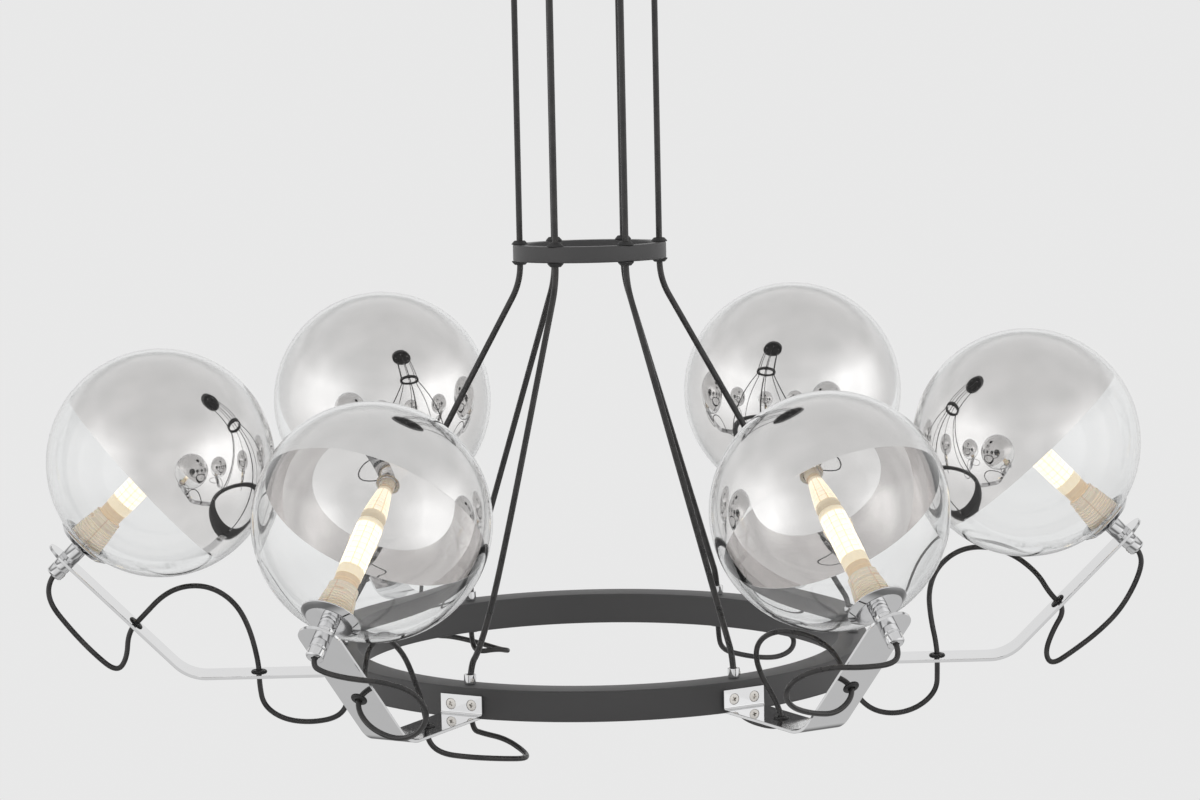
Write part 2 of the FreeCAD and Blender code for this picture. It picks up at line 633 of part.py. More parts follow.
def lampholder():
    """The ribbed lampholder with its wiring cavity and two contact wells."""
    skirt_top = HOLDER_BOTTOM + HOLDER_SKIRT
    crown_low = HOLDER_TOP - HOLDER_CROWN
    pitch = (crown_low - skirt_top) / HOLDER_RIB_COUNT
    shrink = (HOLDER_THREAD_D - HOLDER_CROWN_D) / 2 / HOLDER_RIB_COUNT
    profile = [(0, HOLDER_BOTTOM), (HOLDER_SKIRT_D / 2, HOLDER_BOTTOM)]
    profile += [(HOLDER_SKIRT_D / 2, skirt_top)]
    for rib in range(HOLDER_RIB_COUNT):
        crest = HOLDER_THREAD_D / 2 - rib * shrink
        low = skirt_top + rib * pitch
        profile += [(crest - HOLDER_RIB_DEPTH, low), (crest, low + pitch * 0.3)]
        profile += [(crest, low + pitch * 0.7), (crest - HOLDER_RIB_DEPTH, low + pitch)]
    crown_r = HOLDER_CROWN_D / 2
    groove = crown_low + HOLDER_CROWN / 2
    profile += [(crown_r, crown_low), (crown_r, groove - HOLDER_RIB_DEPTH)]
    profile += [(crown_r - HOLDER_RIB_DEPTH, groove), (crown_r, groove + HOLDER_RIB_DEPTH)]
    profile += [(crown_r, HOLDER_TOP - HOLDER_RIB_DEPTH), (crown_r - HOLDER_RIB_DEPTH, HOLDER_TOP)]
    profile += [(0, HOLDER_TOP)]
    body = revolved(profile)
    cavity_low = HOLDER_BOTTOM + HOLDER_FLOOR
    cavity_top = cavity_low + HOLDER_CAVITY
    body = body.cut(cylinder(STEM_D / 2 + FIT_GAP, HOLDER_BOTTOM - 1, cavity_top))
    body = body.cut(cylinder(HOLDER_CAVITY_D / 2, cavity_low, cavity_top))
    well = cylinder(CONTACT_D / 2 + FIT_GAP, cavity_top - 1, HOLDER_TOP + 1)
    return body.cut(at_contacts(well))


def at_contacts(shape):
    """Two copies of a shape, one at each contact of the lampholder."""
    return [moved(shape, V(0, side * CONTACT_SPACING / 2, 0)) for side in (-1, 1)]


def contacts():
    """The two contact tubes, seated on the floor of their wells."""
    low = HOLDER_BOTTOM + HOLDER_FLOOR + HOLDER_CAVITY
    tube = cylinder(CONTACT_D / 2, low, low + CONTACT_LENGTH)
    tube = tube.cut(cylinder(PIN_D / 2 + CORD_GAP / 2, low - 1, low + CONTACT_LENGTH + 1))
    return at_contacts(tube)


def bulb():
    """The bulb with its base, band, lit core, cap and two pins, resting on the lampholder."""
    low = HOLDER_TOP + SEAT_GAP
    base_top = low + BULB_BASE
    top = low + BULB_LENGTH
    core_low = base_top + BULB_BAND
    core_top = top - BULB_CAP
    profile = [(0, low), (BULB_BASE_D / 2, low), (BULB_BASE_D / 2, base_top)]
    profile += [(BULB_D / 2, base_top), (BULB_D / 2, core_low)]
    profile += [(BULB_D / 2 - BULB_STEP, core_low), (BULB_D / 2 - BULB_STEP, core_top)]
    profile += [(BULB_D / 2, core_top), (BULB_D / 2, top - BULB_EDGE)]
    profile += [(BULB_D / 2 - BULB_EDGE, top), (0, top)]
    body = revolved(profile)
    pin = cylinder(PIN_D / 2, low - PIN_LENGTH, low + BULB_EDGE)
    return body.fuse(at_contacts(pin))


def globe():
    """The blown globe with the round mouth that goes over the lampholder."""
    centre = UP * GLOBE_CENTRE
    shell = Part.makeSphere(GLOBE_D / 2, centre).cut(
        Part.makeSphere(GLOBE_D / 2 - GLOBE_WALL, centre)
    )
    return shell.cut(cylinder(MOUTH_R, 0, GLOBE_CENTRE / 2))


def make_lamps():
    """Every piece along the lamps' axes."""
    sleeve = cylinder(SLEEVE_D / 2, STRAP_FACE, CUP_BOTTOM).cut(
        cylinder(STEM_D / 2 + FIT_GAP, 0, CUP_BOTTOM + 1)
    )
    stem = cylinder(STEM_D / 2, -STEM_TAIL, STEM_TOP).cut(
        cylinder(STEM_BORE_D / 2, -STEM_TAIL - 1, STEM_TOP + 1)
    )
    save("strain_reliefs", on_all_arms(on_lamp(relief_body())))
    save("strain_relief_screws", on_all_arms(on_lamp(relief_grub())))
    save("lamp_stems", on_all_arms(on_lamp(stem)))
    save("lamp_sleeves", on_all_arms(on_lamp(sleeve)))
    save("lamp_cups", on_all_arms(on_lamp(cup())))
    first, second = contacts()
    save("socket_contacts", on_all_arms(on_lamp(first)) + on_all_arms(on_lamp(second)))
    pieces = {"lampholder": lampholder(), "bulb": bulb(), "globe": globe()}
    for name, piece in pieces.items():
        for arm in range(ARM_COUNT):
            save(f"{name}_{arm + 1}", [on_arm(on_lamp(piece), arm)])


# ---- spacer ring ----
def tilted(shape):
    """A shape of the level spacer ring, tilted and raised to its place."""
    leaning = turned(shape, -SPACER_TILT, V(1, 0, 0))
    return moved(leaning, UP * (SPACER_RISE - SUSPENSION_DROP))


def make_spacer():
    """The spacer ring and its flared grommets."""
    half = SPACER_HEIGHT / 2
    body = cylinder(SPACER_OUTER_R, -half, half).cut(
        cylinder(SPACER_OUTER_R - SPACER_WIDTH, -half, half)
    )
    hole = cylinder(SPACER_NECK_D / 2 + FIT_GAP, -half - 1, half + 1, V(SPACER_MID_R, 0, 0))
    body = body.cut([turned(hole, heading(arm)) for arm in range(ARM_COUNT)])
    save("spacer_ring", [tilted(body)])
    flare = half + SPACER_FLANGE_HEIGHT
    profile = [(0, -flare), (SPACER_FLANGE_TOP_D / 2, -flare), (SPACER_FLANGE_D / 2, -half - 0.6)]
    profile += [(SPACER_FLANGE_D / 2, -half), (SPACER_NECK_D / 2, -half)]
    profile += [(SPACER_NECK_D / 2, half), (SPACER_FLANGE_D / 2, half)]
    profile += [(SPACER_FLANGE_D / 2, half + 0.6), (SPACER_FLANGE_TOP_D / 2, flare), (0, flare)]
    rubber = revolved(profile).cut(cylinder(SPACER_BORE_D / 2, -flare - 1, flare + 1))
    rubber = moved(rubber, V(SPACER_MID_R, 0, 0))
    save("spacer_grommets", [tilted(turned(rubber, heading(arm))) for arm in range(ARM_COUNT)])


# ---- canopy and bracket ----
def make_canopy():
    """The ceiling canopy with its glands."""
    floor = -CANOPY_HEIGHT
    body = cylinder(CANOPY_R, floor, -CEILING_GAP)
    lower_edges = [
        edge for edge in body.Edges if edge.BoundBox.ZMax < floor + 1 and edge.Length > CANOPY_R
    ]
    body = body.makeFillet(CANOPY_EDGE_R, lower_edges)
    body = body.cut(cylinder(CANOPY_R - CANOPY_WALL, floor + CANOPY_WALL, 1))
    holes = [on_canopy_floor(gland_hole(CANOPY_WALL), arm) for arm in range(ARM_COUNT)]
    side_hole = canopy_screw_bore(FIT_GAP)
    holes += [side_hole, turned(side_hole, 180.0)]
    save("ceiling_canopy", [body.cut(holes)])
    body_gland = gland(CANOPY_GLAND_D, CANOPY_GLAND_HEIGHT, CANOPY_WALL)
    grub = gland_grub(CANOPY_GLAND_D, CANOPY_GLAND_HEIGHT)
    nut = gland_nut(CANOPY_WALL)
    arms = range(ARM_COUNT)
    save("canopy_glands", [on_canopy_floor(body_gland, arm) for arm in arms])
    save("canopy_gland_screws", [on_canopy_floor(grub, arm) for arm in arms])
    save("canopy_gland_nuts", [on_canopy_floor(nut, arm) for arm in arms])


def canopy_screw_bore(gap):
    """The bore along X of a canopy screw, with a gap round its shank."""
    start = V(CANOPY_R - 2 * CANOPY_SCREW_LENGTH, 0, CANOPY_SCREW_Z)
    return Part.makeCylinder(CANOPY_SCREW_D / 2 + gap, 3 * CANOPY_SCREW_LENGTH, start, V(1, 0, 0))


def make_bracket():
    """The ceiling bracket with its end tabs, the canopy screws and the terminal block."""
    inner_r = CANOPY_R - CANOPY_WALL
    tab_face = math.sqrt((inner_r - BRACKET_PLAY) ** 2 - (BRACKET_WIDTH / 2) ** 2)
    half = tab_face - BRACKET_THICKNESS / 2
    level = -BRACKET_THICKNESS / 2
    path = [V(-half, 0, -BRACKET_TAB), V(-half, 0, level), V(half, 0, level)]
    path += [V(half, 0, -BRACKET_TAB)]
    bend = BRACKET_THICKNESS
    strip = bent_strip(path, [bend, bend], BRACKET_THICKNESS, BRACKET_WIDTH)
    ceiling_hole = cylinder(CEILING_HOLE_D / 2, -BRACKET_TAB, 1)
    sides = (-CEILING_HOLE_SPACING / 2, CEILING_HOLE_SPACING / 2)
    cuts = [moved(ceiling_hole, V(side, 0, 0)) for side in sides]
    side_hole = canopy_screw_bore(FIT_GAP / 2)
    cuts += [side_hole, turned(side_hole, 180.0)]
    save("ceiling_bracket", [strip.cut(cuts)])
    shank = cylinder(CANOPY_SCREW_D / 2, -CANOPY_SCREW_LENGTH, 1)
    head = cylinder(CANOPY_SCREW_HEAD_D / 2, SEAT_GAP, CANOPY_SCREW_HEAD)
    screw = shank.fuse(head).cut(cross_recess(CANOPY_SCREW_HEAD))
    screw = moved(turned(screw, 90.0, V(0, 1, 0)), V(CANOPY_R, 0, CANOPY_SCREW_Z))
    save("canopy_screws", [screw, turned(screw, 180.0)])
    save("terminal_block", [terminal_block()])


def terminal_block():
    """The terminal block under the bracket, with a port and a screw well for each way."""
    top = -BRACKET_THICKNESS
    block = box(TERMINAL_LENGTH, TERMINAL_WIDTH, top - TERMINAL_HEIGHT, top)
    pitch = TERMINAL_LENGTH / TERMINAL_WAYS
    middle = top - TERMINAL_HEIGHT / 2
    cuts = []
    for way in range(TERMINAL_WAYS):
        x = (way + 0.5) * pitch - TERMINAL_LENGTH / 2
        port_start = V(x, -TERMINAL_WIDTH, middle)
        cuts.append(Part.makeCylinder(TERMINAL_PORT_D / 2, 2 * TERMINAL_WIDTH, port_start, V(0, 1, 0)))
        low = top - TERMINAL_HEIGHT
        cuts.append(cylinder(TERMINAL_WELL_D / 2, low - 1, low + TERMINAL_WELL_DEPTH, V(x, 0, 0)))
    return block.cut(cuts)


# ---- cords ----
def lead_route(loops):
    """The route of a lamp lead in its arm's frame, from its strain relief into the ring."""
    relief_face = STEM_HOLE + LAMP_DIRECTION * RELIEF_END
    route = [relief_face + LAMP_DIRECTION * LEAD_INSET, relief_face - LAMP_DIRECTION * LEAD_OUT]
    route += [V(*point) for point in loops["outer"]]
    route += [RISING_GROMMET - LAMP_DIRECTION * GROMMET_RUN_IN]
    route += [RISING_GROMMET + LAMP_DIRECTION * GROMMET_RUN_OUT]
    route += [V(*point) for point in loops["arch"]]
    route.append(LEVEL_GROMMET + UP * GROMMET_RUN_IN)
    if loops["under"]:
        route.append(LEVEL_GROMMET - UP * GROMMET_RUN_OUT)
        route += [V(*point) for point in loops["under"]]
        route.append(V(RING_MID_R, 0, -RING_TOP - RING_RUN))
    else:
        route += [V(LEVEL_GROMMET_X, 0, TUCK_Z), V(RING_MID_R, 0, TUCK_Z)]
    route.append(V(RING_MID_R, 0, -CONNECTOR_TOP))
    return route


def suspension_route(arm):
    """The route of a suspension cord in its arm's frame, from the ring into the canopy."""
    outward_y = math.sin(math.radians(heading(arm)))
    lift = -SPACER_MID_R * outward_y * math.sin(math.radians(SPACER_TILT))
    spacer_low = SPACER_RISE + lift - SPACER_HEIGHT / 2 - SPACER_FLANGE_HEIGHT
    canopy_end = SUSPENSION_DROP - CANOPY_HEIGHT + CANOPY_WALL + GLAND_NUT_HEIGHT + GLAND_NECK_END
    route = [V(RING_MID_R, 0, CONNECTOR_TOP)]
    route += [V(RING_MID_R, 0, RING_TOP + RING_GLAND_HEIGHT + GLAND_RUN)]
    route += [V(x, 0, z) for x, z in SUSPENSION_BOWS[arm]]
    route += [V(SPACER_MID_R, 0, spacer_low - GUIDE_DROP), V(SPACER_MID_R, 0, canopy_end)]
    return route


def make_cords():
    """The six lamp leads and the six suspension cords."""
    for arm in range(ARM_COUNT):
        lead = f"lamp_lead_{arm + 1}"
        route = lead_route(LEAD_LOOPS[arm])
        tucks = {} if LEAD_LOOPS[arm]["under"] else {len(route) - 3: TUCK_BEND_R}
        tucks.update({} if LEAD_LOOPS[arm]["under"] else {len(route) - 2: TUCK_BEND_R})
        tube = cord_tube(lead, route, LEAD_D, tucks)
        save(lead, [on_arm(tube, arm)])
    for arm in range(ARM_COUNT):
        cord = f"suspension_cord_{arm + 1}"
        route = suspension_route(arm)
        fixed = {1: GLAND_BEND_R, len(route) - 2: GUIDE_BEND_R}
        tube = cord_tube(cord, route, SUSPENSION_CORD_D, fixed)
        save(cord, [on_arm(tube, arm)])


os.makedirs("parts", exist_ok=True)
make_ring()
make_ring_fittings()
make_arms()
make_lamps()
make_spacer()
make_canopy()
make_bracket()
make_cords()
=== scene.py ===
"""Looks of an orb chandelier.

Clear globes, each with a mirrored inner half, stand on bent chrome straps round a black
square-tube ring, which hangs on six cords. Sizes are in millimetres in the classes below and
become metres when a mesh is finished. An arm is drawn in its own frame, with X outward from
the ring's middle, Y along the ring and Z up from the ring's mid-plane. A lamp is drawn along
its own axis, with Z from the strap into the globe.
"""
import json
import logging
import math
from collections.abc import Iterable, Sequence
from dataclasses import dataclass, field
from enum import Enum

import bmesh
import bpy
from mathutils import Matrix, Vector


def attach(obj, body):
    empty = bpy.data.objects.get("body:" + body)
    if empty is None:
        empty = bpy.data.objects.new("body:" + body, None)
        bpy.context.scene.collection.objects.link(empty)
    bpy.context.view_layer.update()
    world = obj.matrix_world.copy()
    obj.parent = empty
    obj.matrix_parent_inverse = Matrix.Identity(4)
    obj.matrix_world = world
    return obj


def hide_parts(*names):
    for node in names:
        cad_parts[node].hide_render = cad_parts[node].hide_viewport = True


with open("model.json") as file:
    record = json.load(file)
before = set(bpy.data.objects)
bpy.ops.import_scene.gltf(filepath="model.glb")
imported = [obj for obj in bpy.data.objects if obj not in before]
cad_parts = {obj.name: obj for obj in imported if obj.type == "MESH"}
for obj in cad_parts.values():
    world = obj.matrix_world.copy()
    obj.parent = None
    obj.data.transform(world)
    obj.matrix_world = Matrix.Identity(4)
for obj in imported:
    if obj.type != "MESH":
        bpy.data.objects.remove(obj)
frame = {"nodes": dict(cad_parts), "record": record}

LOG = logging.getLogger("orb_chandelier")
MM = 0.001
Point2 = tuple[float, float]
Point3 = tuple[float, float, float]
Colour = tuple[float, float, float]
Mesh = bmesh.types.BMesh
AXIS = 1e-6  # a point closer to the axis than this lies on it


class Slot(Enum):
    """The record's material slots."""

    BLACK_PAINT = "black_paint"
    CHROME = "chrome"
    SCREW_STEEL = "screw_steel"
    BLACK_RUBBER = "black_rubber"
    BLACK_CORD = "black_cord"
    HOLDER_PLASTIC = "holder_plastic"
    BULB_PLASTIC = "bulb_plastic"
    GLOBE_GLASS = "globe_glass"
    TERMINAL_PLASTIC = "terminal_plastic"
    CONNECTOR_PLASTIC = "connector_plastic"
    BRASS_CONTACT = "brass_contact"
    PLATED_STEEL = "plated_steel"


class Body(Enum):
    """The bodies that pieces ride on. Globes and bulbs take their number after these words."""

    FRAME = "frame"
    GLOBE = "globe_body_{}"
    BULB = "bulb_body_{}"


# ---- where things stand ----
@dataclass(frozen=True)
class Layout:
    """How the arms and lamps are set out round the ring."""

    arm_count: int = 6
    first_heading: float = 180.0
    drop: float = 475.0
    strap_reach: float = 347.4
    stem_rise: float = 70.1
    lamp_tilt: float = 45.0

    def heading(self, arm: int) -> float:
        """The direction of an arm, in radians from +X."""
        return math.radians(self.first_heading + arm * 360.0 / self.arm_count)

    def arm(self, arm: int) -> Matrix:
        """The arm's frame in the chandelier's frame."""
        return Matrix.Translation((0, 0, -self.drop)) @ Matrix.Rotation(self.heading(arm), 4, "Z")

    def lamp(self) -> Matrix:
        """The lamp's frame in its arm's frame."""
        turn = Matrix.Rotation(-math.radians(self.lamp_tilt), 4, "Y")
        return Matrix.Translation((self.strap_reach, 0, self.stem_rise)) @ turn

    def arms(self) -> range:
        """The arms' numbers."""
        return range(self.arm_count)


LAYOUT = Layout()


# ---- shader maths ----
class Wire:
    """A shader value that takes Python's operators and adds Math nodes for them."""

    def __init__(self, tree: "Tree", socket: bpy.types.NodeSocket) -> None:
        """Wraps a socket.

        Args:
            tree: The tree that the socket is in.
            socket: The output that carries the value.
        """
        self.tree = tree
        self.socket = socket

    def _maths(self, operation: str, first: "Wire | float", second: "Wire | float") -> "Wire":
        """A Math node of two values."""
        return self.tree.add("Math", {"operation": operation}, {0: first, 1: second})

    def __add__(self, other: "Wire | float") -> "Wire":
        """Sum."""
        return self._maths("ADD", self, other)

    __radd__ = __add__

    def __sub__(self, other: "Wire | float") -> "Wire":
        """Difference."""
        return self._maths("SUBTRACT", self, other)

    def __rsub__(self, other: "Wire | float") -> "Wire":
        """Difference, reflected."""
        return self._maths("SUBTRACT", other, self)

    def __mul__(self, other: "Wire | float") -> "Wire":
        """Product."""
        return self._maths("MULTIPLY", self, other)

    __rmul__ = __mul__

    def __pow__(self, other: float) -> "Wire":
        """Power."""
        return self._maths("POWER", self, other)

    def size(self) -> "Wire":
        """The value without its sign."""
        return self._maths("ABSOLUTE", self, 0.0)

    def wrapped(self) -> "Wire":
        """The value's fraction."""
        return self._maths("FRACT", self, 0.0)

    def clamped(self, low: float, high: float) -> "Wire":
        """0 up to the low value and 1 from the high one, with a straight ramp between."""
        settings = {"clamp": True}
        return self.tree.add("MapRange", settings, {0: self, 1: low, 2: high, 3: 0.0, 4: 1.0})


class Tree:
    """The node tree of a material or a world."""

    def __init__(self, owner: bpy.types.Material | bpy.types.World) -> None:
        """Starts an empty tree.

        Args:
            owner: The material or world.
        """
        self.owner = owner
        owner.use_nodes = True
        self.graph = owner.node_tree
        self.graph.nodes.clear()

    @classmethod
    def of_material(cls, name: str) -> "Tree":
        """The empty tree of a new material."""
        return cls(bpy.data.materials.new(name))

    def add(
        self,
        kind: str,
        settings: dict[str, object] | None = None,
        values: dict[int | str, object] | None = None,
        output: int | str = 0,
    ) -> Wire:
        """Adds one node.

        Args:
            kind: The node's type, without its ShaderNode prefix.
            settings: The node's properties, which are set first.
            values: Values or wires for its inputs.
            output: The output to return.

        Returns:
            The wire of the output.
        """
        node = self.graph.nodes.new(f"ShaderNode{kind}")
        for key, setting in (settings or {}).items():
            setattr(node, key, setting)
        for key, value in (values or {}).items():
            if isinstance(value, Wire):
                self.graph.links.new(value.socket, node.inputs[key])
            else:
                node.inputs[key].default_value = value
        return Wire(self, node.outputs[output]) if node.outputs else Wire(self, None)

    def object_space(self) -> Wire:
        """The place on the piece, in metres."""
        return self.add("TexCoord", output="Object")

    def parts(self, vector: Wire) -> tuple[Wire, Wire, Wire]:
        """A vector's three parts."""
        first = self.add("SeparateXYZ", {}, {0: vector})
        outputs = first.socket.node.outputs
        return first, Wire(self, outputs[1]), Wire(self, outputs[2])

    def noise(self, scale: float, detail: float = 2.0, stretch: Point3 = (1, 1, 1)) -> Wire:
        """Noise on the piece.

        Args:
            scale: Waves per metre.
            detail: Octaves.
            stretch: Factors along X, Y and Z.

        Returns:
            A value from 0 to 1.
        """
        place = self.add("Mapping", {}, {"Vector": self.object_space(), "Scale": stretch})
        values = {"Vector": place, "Scale": scale, "Detail": detail}
        return self.add("TexNoise", {}, values, output=0)

    def blend(self, factor: Wire | float, first: object, second: object) -> Wire:
        """A mix of two colours."""
        colours = [self._colour(first), self._colour(second)]
        values = {0: factor, 6: colours[0], 7: colours[1]}
        return self.add("Mix", {"data_type": "RGBA"}, values, output=2)

    @staticmethod
    def _colour(value: object) -> object:
        """A colour with its alpha, or the wire as it is."""
        return value if isinstance(value, Wire) else (*value, 1.0)

    @staticmethod
    def uneven(tone: Wire, middle: float, spread: float) -> Wire:
        """A value that a tone of 0 to 1 moves evenly about its middle."""
        return tone * spread + (middle - spread / 2)

    def bump(self, height: Wire, depth: float, strength: float = 1.0) -> Wire:
        """A bumped normal from a height of 0 to 1 and its depth in metres."""
        values = {"Height": height, "Distance": depth, "Strength": strength}
        return self.add("Bump", {}, values)

    def finish(self, **inputs: object) -> bpy.types.Material:
        """Ends the tree in one Principled shader.

        Args:
            inputs: The shader's inputs, with _ for each space.

        Returns:
            The material.
        """
        values = {}
        for key, value in inputs.items():
            title = " ".join(word.capitalize() for word in key.split("_"))
            title = title.replace("Ior", "IOR")
            is_colour = key in ("base_color", "emission_color", "coat_tint")
            values[title] = self._colour(value) if is_colour else value
        shader = self.add("BsdfPrincipled", {}, values)
        self.add("OutputMaterial", {}, {"Surface": shader})
        return self.owner


# ---- finishes: waves are per metre, depths in metres ----
@dataclass(frozen=True)
class SatinPaint:
    """The black paint of the ring, the spacer and the canopy."""

    colour: Colour = (0.046, 0.0455, 0.0465)
    dusty: Colour = (0.056, 0.0545, 0.0545)
    roughness: float = 0.42
    spread: float = 0.10
    specular: float = 0.42
    cloud_waves: float = 14.0
    grain_waves: float = 2600.0
    grain_depth: float = 0.00003

    def make(self, name: str) -> bpy.types.Material:
        """The material, with a fine spray texture."""
        tree = Tree.of_material(name)
        cloud = tree.noise(self.cloud_waves, 3.0)
        grain = tree.noise(self.grain_waves, 1.0)
        return tree.finish(
            base_color=tree.blend(cloud, self.colour, self.dusty),
            roughness=tree.uneven(cloud, self.roughness, self.spread),
            specular_ior_level=self.specular,
            normal=tree.bump(grain, self.grain_depth, 0.5),
        )


@dataclass(frozen=True)
class Polished:
    """A bright metal: chrome plate, nickel or zinc."""

    colour: Colour
    worn: Colour
    roughness: float
    smudge: float
    grain: float = 0.0
    dents: float = 0.0
    smudge_waves: float = 55.0
    hair_waves: float = 900.0
    hair_stretch: Point3 = (1.0, 1.0, 0.08)
    dent_waves: float = 26.0

    def make(self, name: str) -> bpy.types.Material:
        """The material, with faint smudges and, where it has any, a drawn grain and dents."""
        tree = Tree.of_material(name)
        smudges = tree.noise(self.smudge_waves, 4.0)
        hairs = tree.noise(self.hair_waves, 2.0, self.hair_stretch)
        inputs: dict[str, object] = {
            "base_color": tree.blend(smudges, self.colour, self.worn),
            "metallic": 1.0,
            "roughness": (smudges * self.smudge + self.roughness) + hairs * self.grain,
        }
        if self.dents:
            inputs["normal"] = tree.bump(tree.noise(self.dent_waves, 1.0), self.dents)
        return tree.finish(**inputs)


@dataclass(frozen=True)
class Moulded:
    """Moulded rubber or plastic."""

    colour: Colour
    tired: Colour
    roughness: float
    spread: float = 0.12
    tone_waves: float = 70.0
    pore_waves: float = 1700.0
    pore_depth: float = 0.00002

    def make(self, name: str) -> bpy.types.Material:
        """The material, with an uneven tone and fine pores."""
        tree = Tree.of_material(name)
        tone = tree.noise(self.tone_waves, 3.0)
        pores = tree.noise(self.pore_waves, 1.0)
        return tree.finish(
            base_color=tree.blend(tone, self.colour, self.tired),
            roughness=tree.uneven(tone, self.roughness, self.spread),
            normal=tree.bump(pores, self.pore_depth, 0.6),
        )


@dataclass(frozen=True)
class Sheath:
    """The smooth sheath of a cord, with the faint lay of its cores under it."""

    colour: Colour = (0.017, 0.0165, 0.0165)
    rubbed: Colour = (0.036, 0.033, 0.032)
    roughness: float = 0.28
    spread: float = 0.14
    tone_waves: float = 120.0
    rubbed_from: Point2 = (0.35, 0.8)
    lay_waves: float = 420.0
    lay_stretch: Point3 = (1.0, 1.0, 0.4)
    lay_depth: float = 0.00006

    def make(self, name: str) -> bpy.types.Material:
        """The material."""
        tree = Tree.of_material(name)
        tone = tree.noise(self.tone_waves, 3.0)
        lay = tree.noise(self.lay_waves, 1.0, self.lay_stretch)
        return tree.finish(
            base_color=tree.blend(tone.clamped(*self.rubbed_from), self.colour, self.rubbed),
            roughness=tree.uneven(tone, self.roughness, self.spread),
            normal=tree.bump(lay, self.lay_depth, 0.5),
        )


@dataclass(frozen=True)
class HolderPlastic:
    """The ivory lampholder, warm with a painted glow that stands in for the bulb's light, darker
    between its ribs.
    """

    colour: Colour = (0.90, 0.79, 0.63)
    pale: Colour = (0.95, 0.88, 0.76)
    groove: Colour = (0.62, 0.46, 0.30)
    # painted glow: the warm emission colour and strength that stand in for the bulb's light on
    # the holder
    painted_glow: Colour = (1.0, 0.86, 0.68)
    painted_glow_strength: float = 0.20
    seams: float = 4.0
    seam_share: float = 0.0016
    seam_tone: float = 0.5
    roughness: float = 0.34
    depth: float = 0.35
    depth_scale: float = 0.004
    depth_radius: Point3 = (1.0, 0.62, 0.36)
    tone_waves: float = 90.0
    grain_waves: float = 900.0
    grain_depth: float = 0.00003

    def make(self, name: str) -> bpy.types.Material:
        """The material, with moulded seams down its sides."""
        tree = Tree.of_material(name)
        turns, _, _ = tree.parts(tree.add("UVMap", {"uv_map": "outline"}))
        seam = (turns * self.seams + 0.5).wrapped() - 0.5
        seam = 1.0 - (seam * seam).clamped(0.0, self.seam_share)
        seam = seam * self.seam_tone
        tone = tree.noise(self.tone_waves, 3.0)
        ground = tree.blend(tone, self.colour, self.pale)
        return tree.finish(
            base_color=tree.blend(seam, ground, self.groove),
            roughness=tone * 0.1 + self.roughness,
            subsurface_weight=self.depth,
            subsurface_scale=self.depth_scale,
            subsurface_radius=self.depth_radius,
            # painted glow: the holder emits light, dimmer and browner on its seam lines
            emission_color=tree.blend(seam, self.painted_glow, self.groove),
            emission_strength=self.painted_glow_strength,
            normal=tree.bump(tree.noise(self.grain_waves, 1.0), self.grain_depth, 0.5),
        )


@dataclass(frozen=True)
class LitPlastic:
    """A lit part of the bulb, which glows unevenly."""

    colour: Colour
    bright: Colour
    dim: Colour
    strength: float
    roughness: float = 0.3
    tone_waves: float = 240.0
    bright_from: Point2 = (0.3, 0.7)

    def make(self, name: str) -> bpy.types.Material:
        """The material."""
        tree = Tree.of_material(name)
        tone = tree.noise(self.tone_waves, 2.0).clamped(*self.bright_from)
        return tree.finish(
            base_color=self.colour,
            roughness=tone * 0.1 + self.roughness,
            emission_color=tree.blend(tone, self.dim, self.bright),
            emission_strength=self.strength,
        )


@dataclass(frozen=True)
class BlownGlass:
    """Clear blown glass, very slightly uneven."""

    tint: Colour = (0.985, 0.99, 0.99)
    ior: float = 1.45
    waves: float = 9.0
    wave_depth: float = 0.00006

    def make(self, name: str) -> bpy.types.Material:
        """The material."""
        tree = Tree.of_material(name)
        return tree.finish(
            base_color=self.tint,
            roughness=0.0,
            transmission_weight=1.0,
            ior=self.ior,
            normal=tree.bump(tree.noise(self.waves, 1.0), self.wave_depth),
        )


@dataclass(frozen=True)
class MirrorCoat:
    """The vapour-plated mirror inside a globe, slightly warm and wavy."""

    colour: Colour = (0.80, 0.79, 0.785)
    warm: Colour = (0.76, 0.735, 0.725)
    roughness: float = 0.015
    tone_waves: float = 11.0
    waves: float = 12.0
    wave_depth: float = 0.00006

    def make(self, name: str) -> bpy.types.Material:
        """The material."""
        tree = Tree.of_material(name)
        tone = tree.noise(self.tone_waves, 2.0)
        return tree.finish(
            base_color=tree.blend(tone, self.colour, self.warm),
            metallic=1.0,
            roughness=tone * 0.02 + self.roughness,
            normal=tree.bump(tree.noise(self.waves, 2.0), self.wave_depth),
        )


